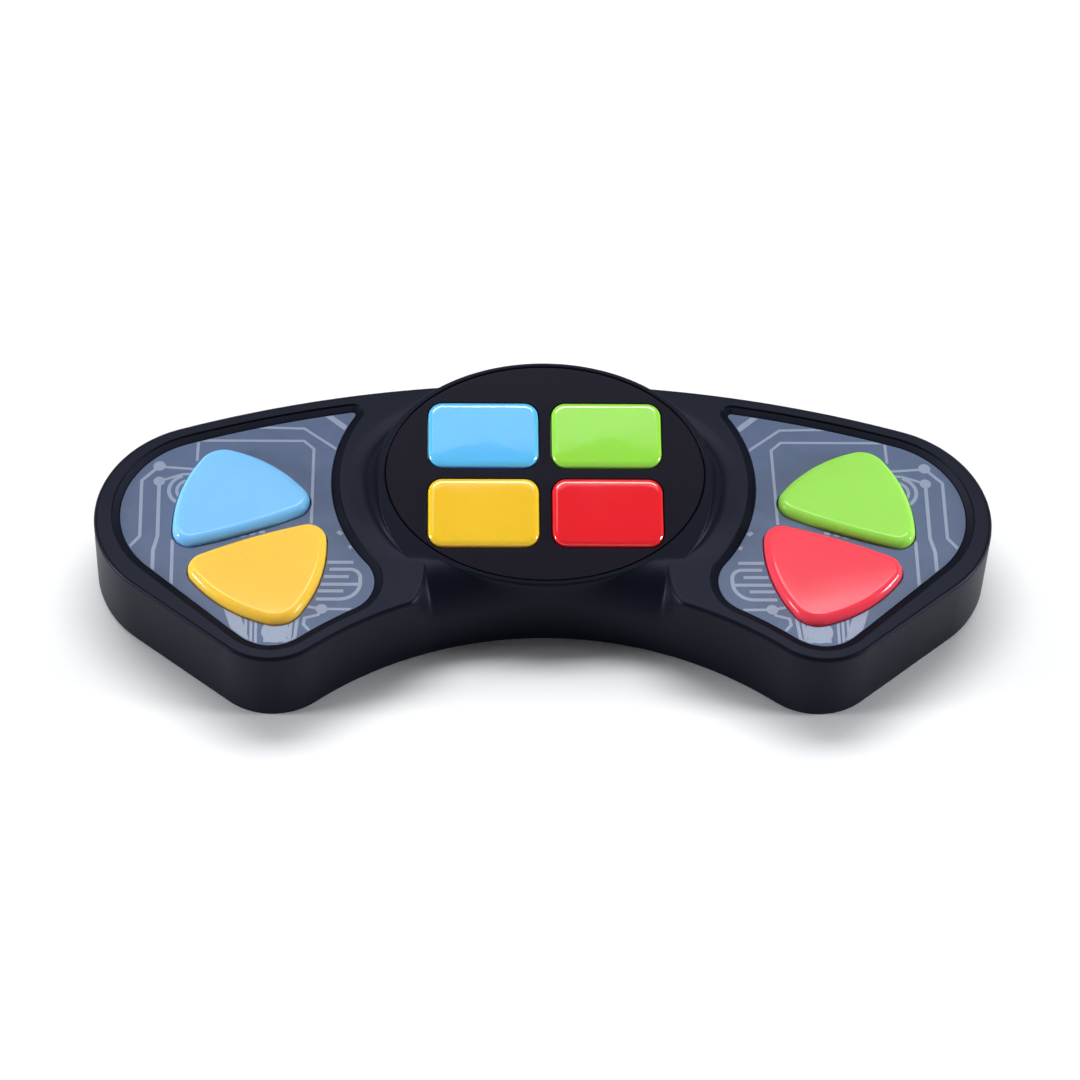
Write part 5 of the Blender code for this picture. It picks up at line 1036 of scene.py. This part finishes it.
# Rubber domes: moulded silicone cups, one under each key, that lie on the key board. The thin
# skirt buckles when the key is pressed and lifts it again.
silicone = moulded("grey_silicone", (0.35, 0.36, 0.38), 0.62, 2600.0, 0.00002)
DOME_FOOT = 10.3
DOME = [(6.0, DOME_FOOT), (6.0, 10.95), (5.85, 11.1), (4.75, 11.1), (4.5, 11.2), (4.25, 11.45)]
DOME += [(2.62, 13.2), (2.45, 13.4), (2.4, 13.6), (2.4, 13.98), (2.25, 14.14), (1.2, 14.176)]
DOME += [(0.0, 14.176), (0.0, 12.6), (1.45, 12.56), (1.7, 12.3), (3.55, 10.5), (3.7, DOME_FOOT)]
for colour, key in KEYS.items():
    centre = key_middle(*key)
    shape = turned(DOME, centre)
    dome = piece(f"silicone_dome_{colour}", shape, silicone, [f"rubber_dome_{colour}"])
    dome.modifiers.clear()
    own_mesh(dome)


# Speaker: a pressed steel basket with its magnet, held in a ring of the back cover. Its pressed
# paper cone looks out through the grille.
paper = moulded("grey_paper_cone", (0.05, 0.05, 0.05), 0.8, 1600.0, 0.00006)
MOUTH = (0.0, -11.0)
basket = [(10.5, 2.3), (12.3, 2.3), (12.5, 2.5), (12.5, 3.6), (12.3, 3.8), (11.6, 3.9), (7.1, 5.0)]
basket += [(6.875, 5.15), (6.875, 7.1), (6.7, 7.3), (0.0, 7.3), (0.0, 4.8), (5.5, 4.8), (10.5, 3.4)]
piece("speaker_basket", turned(basket, MOUTH, 64), tinned, ["speaker_frame"])
cone = [(0.0, 3.2), (2.6, 3.12), (4.0, 3.3), (4.12, 3.3), (5.5, 2.98), (8.6, 2.42)]
cone += [(9.2, 2.5), (9.8, 2.34), (10.2, 2.3), (10.2, 2.6), (9.8, 2.64), (9.2, 2.8)]
cone += [(8.6, 2.72), (5.5, 3.28), (4.12, 3.6), (4.0, 3.6), (2.6, 3.42), (0.0, 3.5)]
piece("speaker_paper", turned(cone, MOUTH, 64), paper, ["speaker_cone"])


# Power switch: a shell folded from tinned steel, and a slider of black nylon in it. The slider's
# ribbed knob stands in the back cover's slot.
knob = moulded("black_nylon", (0.02, 0.02, 0.02), 0.42, 2400.0, 0.00002)
shape = slab(-50.0, -15.0, -38.0, -9.0, 2.3, 7.3, 0.4, 0.15)
shape = combine(shape, "DIFFERENCE", slab(-49.0, -14.0, -39.0, -10.0, 0.3, 4.4, 0.2, 0.05))
piece("switch_shell", shape, tinned, ["power_switch_body"])
shape = slab(-48.7, -13.7, -42.3, -10.3, 2.6, 4.1, 0.3, 0.1)
rib_places = (-46.65, -46.05, -45.45, -44.85, -44.25)
ribs = [slab(x, -12.8, x + 0.2, -11.2, 0.0, 0.5, 0.05, 0.02) for x in rib_places]
shape = combine(shape, "UNION", slab(-47.3, -12.9, -43.7, -11.1, 0.3, 3.5, 0.3, 0.1))
shape = combine(shape, "DIFFERENCE", together(ribs))
piece("switch_knob", shape, knob, ["power_switch_slider"], "power_switch_slider")


# Cells: two AAA cells, head to tail, in the back cover's bay. Each is a steel can in a plain dark
# plastic jacket that is shrunk over both ends.
CELL_AXIS, CELL_LENGTH, BACK_ROW, FRONT_ROW = 8.35, 44.5, 23.45, 12.55


def along_x(shape, start, towards, y):
    """Lays a turned shape down along X, from start."""
    for vert in shape.verts:
        x, up, along = vert.co
        vert.co = (start + towards * along, y + towards * x, CELL_AXIS + up)
    return shape


jacket = moulded("cell_jacket", (0.10, 0.10, 0.12), 0.28, 900.0, 0.00001)
CELL = [(0.0, 0.35), (4.2, 0.35), (4.5, 0.0), (5.0, 0.0), (5.25, 0.25), (5.25, 42.9), (5.0, 43.3)]
CELL += [(4.4, 43.5), (4.1, 43.2), (2.2, 43.2), (1.9, 43.5), (1.9, 44.3)]
CELL += [(1.7, CELL_LENGTH), (0.0, CELL_LENGTH)]
for number, (y, towards) in enumerate(((BACK_ROW, 1), (FRONT_ROW, -1)), 1):
    shape = along_x(turned(CELL, sides=64), -towards * 19.5, towards, y)
    piece(f"aaa_cell_{number}", shape, jacket, [f"battery_cell_{number}"])


# Battery contacts: nickel-plated spring steel, each standing on edge at an end of the bay. A
# minus end has a conical coil on its plate, and the plus end is a flat plate.
PLATE_REACH, PLATE_FACE, BAY_END, COIL_START = 4.2, 25.0, 25.4, 25.175


def tube(points, radius, sides=14):
    """A round wire along points, closed at both ends."""
    made = bmesh.new()
    rings = []
    side = None
    for i, at in enumerate(points):
        after, before = points[min(i + 1, len(points) - 1)], points[max(i - 1, 0)]
        ahead = (Vector(after) - Vector(before)).normalized()
        if side is None:
            side = Vector((0.0, 0.0, 1.0) if abs(ahead.z) < 0.8 else (1.0, 0.0, 0.0))
        side = (side - side.dot(ahead) * ahead).normalized()
        other = ahead.cross(side)
        ring = []
        for k in range(sides):
            a = math.tau * k / sides
            ring.append(made.verts.new(Vector(at) + radius * (math.cos(a) * side + math.sin(a) * other)))
        rings.append(ring)
    for low, high in zip(rings, rings[1:]):
        for k in range(sides):
            made.faces.new((low[k], low[(k + 1) % sides], high[(k + 1) % sides], high[k]))
    made.faces.new(rings[0][::-1])
    made.faces.new(rings[-1])
    return made


SPRING_WIRE, COIL_LENGTH, COIL_TURNS, COIL_STEPS = 0.35, 4.9, 3, 108
COIL_WIDE, COIL_NARROW = 3.465, 1.89


def coil(x, y, towards):
    """A spring's turns along X, narrowing from the plate to the cell."""
    points = []
    for i in range(COIL_STEPS + 1):
        share = i / COIL_STEPS
        a = math.tau * COIL_TURNS * share
        radius = COIL_WIDE - (COIL_WIDE - COIL_NARROW) * share
        along = x + towards * COIL_LENGTH * share
        points.append((along, y + radius * math.cos(a), CELL_AXIS + radius * math.sin(a)))
    return tube(points, SPRING_WIRE)


def upright(low_x, high_x, low_y, high_y):
    """A contact plate that stands across X, with rounded corners."""
    low, high = CELL_AXIS - PLATE_REACH, CELL_AXIS + PLATE_REACH
    made = prism(rounded_rectangle(low_y, low, high_y, high, 0.6), low_x, high_x)
    for vert in made.verts:
        vert.co = (vert.co.z, vert.co.x, vert.co.y)
    return made


shape = upright(-BAY_END, -PLATE_FACE, BACK_ROW - PLATE_REACH, BACK_ROW + PLATE_REACH)
shape = combine(shape, "UNION", coil(-COIL_START, BACK_ROW, 1))
piece("contact_minus", shape, tinned, ["battery_contact_negative"])
shape = upright(-BAY_END, -PLATE_FACE, FRONT_ROW - PLATE_REACH, FRONT_ROW + PLATE_REACH)
piece("contact_plus", shape, tinned, ["battery_contact_positive"])
shape = upright(PLATE_FACE, BAY_END, FRONT_ROW - PLATE_REACH, BACK_ROW + PLATE_REACH)
shape = combine(shape, "UNION", coil(COIL_START, FRONT_ROW, -1))
piece("contact_link", shape, tinned, ["battery_link_contact"])


# Wires: stranded copper in thin PVC, and a thicker lead to each key board. Each runs in one
# smooth curve from its solder point to the underside of the display's board.
WIRE_RADIUS, LEAD_RADIUS, LEAD_HEIGHT = 0.6, 1.1, 7.0
LEDGE_HALF_WIDTH, LEDGE_HALF_HEIGHT = DISPLAY_HALF_WIDTH - LEDGE_INSET, DISPLAY_HALF_HEIGHT - LEDGE_INSET
WIRE_END, LEAD_END = BOARD_LOW - 0.3 - WIRE_RADIUS, BOARD_LOW - 0.3 - LEAD_RADIUS


def on_display(x, up, down):
    """A point given in the leaning display's own frame."""
    return tuple(LEANING @ Vector((x, up, down)))


def through(route, steps=14):
    """A smooth curve through the route's points."""
    points = [Vector(p) for p in route]
    ends = [2 * points[0] - points[1], *points, 2 * points[-1] - points[-2]]
    path = []
    for a, b, c, d in zip(ends, ends[1:], ends[2:], ends[3:]):
        square, cube = 2 * a - 5 * b + 4 * c - d, 3 * b - a - 3 * c + d
        for i in range(steps):
            t = i / steps
            path.append(0.5 * (2 * b + (c - a) * t + square * t**2 + cube * t**3))
    return [*path, points[-1]]


def between(start, end):
    return tuple((a + b) / 2 for a, b in zip(start, end))


black_wire = moulded("black_pvc", (0.012, 0.012, 0.012), 0.35, 700.0, 0.00001)
red_wire = moulded("red_pvc", (0.50, 0.02, 0.02), 0.35, 700.0, 0.00001)
for name, row, up, look, slot in (
    ("battery_wire_black", BACK_ROW, LEDGE_HALF_HEIGHT / 3, black_wire, "epoxy"),
    ("battery_wire_red", FRONT_ROW, LEDGE_HALF_HEIGHT / 8, red_wire, "red"),
):
    end = on_display(-DISPLAY_HALF_WIDTH / 2, up, WIRE_END)
    route = [(-27.8, row, CELL_AXIS), (-27.8, row - 1.3125, 16.0)]
    route += [(-23.525, (row + end[1]) / 2, end[2] - WIRE_RADIUS), end]
    piece(f"{name}_strand", tube(through(route), WIRE_RADIUS), look, [name])
for side, name, look, slot in ((-1, "black", black_wire, "epoxy"), (1, "red", red_wire, "red")):
    start = (side * 12.5 / 3, MOUTH[1], 8.2)
    end = on_display(side * 8.75, -LEDGE_HALF_HEIGHT * 0.62, WIRE_END)
    strand = tube(through([start, between(start, end), end]), WIRE_RADIUS)
    piece(f"speaker_wire_{name}_strand", strand, look, [f"speaker_wire_{name}"])
start, end = (-44.0, -12.0, 8.2), on_display(-LEDGE_HALF_WIDTH * 0.55, -LEDGE_HALF_HEIGHT / 2, WIRE_END)
strand = tube(through([start, between(start, end), end]), WIRE_RADIUS)
piece("switch_wire_strand", strand, red_wire, ["switch_wire"])
for side, name in ((-1, "left"), (1, "right")):
    end = on_display(side * LEDGE_HALF_WIDTH * 0.72, -LEDGE_HALF_HEIGHT * 0.3, LEAD_END)
    foot = ((BOARD_CORNERS[0][0] + BOARD_CORNERS[3][0]) / 2, BOARD_CORNERS[0][1] - 8.0)
    route = [(side * foot[0], foot[1], LEAD_HEIGHT), (side * 44.3, end[1] / 2, LEAD_HEIGHT)]
    route += [(side * LEDGE_HALF_WIDTH, end[1], (LEAD_HEIGHT + end[2]) / 2), end]
    strand = tube(through(route), LEAD_RADIUS)
    piece(f"key_lead_{name}_strand", strand, black_wire, [f"key_lead_{name}"])


# Back cover: black ABS, coarser than the case, set flush inside its foot. It carries the
# battery bay, the speaker's ring and grille, the switch's slot and six screw cups.
COVER_BLACK, COVER_INSET, CUP_TOP = (0.010, 0.010, 0.012), WALL + 0.3, 4.2
COVER_EDGE = ((0.3, 0.0), (0.08, 0.08), (0.0, 0.3), (0.0, 2.0))
GRILLE_STEP, GRILLE_RADIUS = 3.4, 8.6
DOOR_SCREW, HOOK_ROWS = (28.5, 18.0), (12.0, 24.0)
cover_black = moulded("textured_black_abs", COVER_BLACK, 0.5, 2400.0, 0.00003, Specular_IOR_Level=0.3)
cover = loft([(case_outline(COVER_INSET + inset), z) for inset, z in COVER_EDGE])
cover = combine(cover, "UNION", slab(-26.9, 5.7, 26.9, 30.3, 1.0, 15.1, 0.8, 0.3))
cover = combine(cover, "UNION", prism(rounded_rectangle(25.7, 12.3, 32.8, 23.7, 0.6), 1.0, 7.2))
cover = combine(cover, "DIFFERENCE", prism(rounded_rectangle(-25.7, 6.9, 25.7, 29.1, 0.3), -CUT, 13.9))
cover = combine(cover, "DIFFERENCE", prism(rounded_rectangle(25.4, 13.2, 31.6, 22.8, 0.3), -CUT, 3.6))
cover = combine(cover, "DIFFERENCE", cylinder(DOOR_SCREW, 1.6, 0.0, 9.2))
tabs = [prism(rounded_rectangle(-27.7, y - 2.8, -25.4, y + 2.8, 0.1), 2.0, CUP_TOP) for y in HOOK_ROWS]
cover = combine(cover, "DIFFERENCE", together(tabs))
cover = combine(cover, "UNION", posts(SCREW_PLACES, 4.0, 1.0, CUP_TOP))
cover = combine(cover, "DIFFERENCE", posts(SCREW_PLACES, 2.6, -CUT, 2.8))
cover = combine(cover, "DIFFERENCE", posts(SCREW_PLACES, BORE, 0.0, CUP_TOP + CUT))
ring = [(12.8, 1.0), (14.0, 1.0), (14.0, 4.05), (13.85, CUP_TOP), (12.95, CUP_TOP), (12.8, 4.05)]
cover = combine(cover, "UNION", turned(ring, MOUTH, 64))
slots = []
for row in range(-2, 3):
    y = MOUTH[1] + row * GRILLE_STEP
    half = math.sqrt(GRILLE_RADIUS**2 - (row * GRILLE_STEP) ** 2)
    wide = rounded_rectangle(-half - 0.25, y - 1.0, half + 0.25, y + 1.0, 0.9)
    slim = rounded_rectangle(-half, y - 0.75, half, y + 0.75, 0.6)
    slots.append(loft([(wide, -0.5), (wide, 0.0), (slim, 0.3), (slim, 2.3)]))
cover = combine(cover, "DIFFERENCE", together(slots))
cover = combine(cover, "DIFFERENCE", prism(rounded_rectangle(-47.6, -13.2, -40.4, -10.8, 0.3), -CUT, 4.0))
piece("back_moulding", cover, cover_black, ["back_cover"])
for side, name in ((-1, "left"), (1, "right")):
    for number, (x, y) in enumerate(SCREW_PLACES, 1):
        screw(f"case_screw_{name}_{number}", (side * x, y), 0.9, 8.0, [f"housing_screw_{name}_{number}"])


# Battery door: the same black ABS, flush in the cover. Two hooks hold one end in the cover's
# slots, and a captive screw in the lug holds the other. Three grooves give a finger its grip.
door = slab(-25.4, 7.2, 25.4, 28.8, 0.0, 1.8, 0.5, 0.2)
door = combine(door, "UNION", slab(25.1, 13.5, 31.3, 22.5, 0.0, 3.3, 0.5, 0.2))
door = combine(door, "DIFFERENCE", cylinder(DOOR_SCREW, BORE, -CUT, 5.3))
door = combine(door, "DIFFERENCE", cylinder(DOOR_SCREW, 2.6, -CUT, 2.2))
HOOK = ((-24.4, 0.9), (-25.4, 0.9), (-25.4, 2.3), (-27.0, 2.3), (-27.0, 3.3), (-24.4, 3.3))
hooks = [along_y(HOOK, y - 2.5, y + 2.5) for y in HOOK_ROWS]
door = combine(door, "UNION", together(hooks))
grips = []
for x in (12.85, 15.475, 18.1):
    wide = rounded_rectangle(x - 0.5, 12.55, x + 0.5, 23.45, 0.4)
    slim = rounded_rectangle(x - 0.3, 12.75, x + 0.3, 23.25, 0.25)
    grips.append(loft([(wide, -0.4), (wide, 0.0), (slim, 0.25), (slim, 0.6)]))
door = combine(door, "DIFFERENCE", together(grips))
piece("door_moulding", door, cover_black, ["battery_door"], "battery_door")
screw("door_screw", DOOR_SCREW, 0.3, 4.1, ["battery_door_screw"], "battery_door")
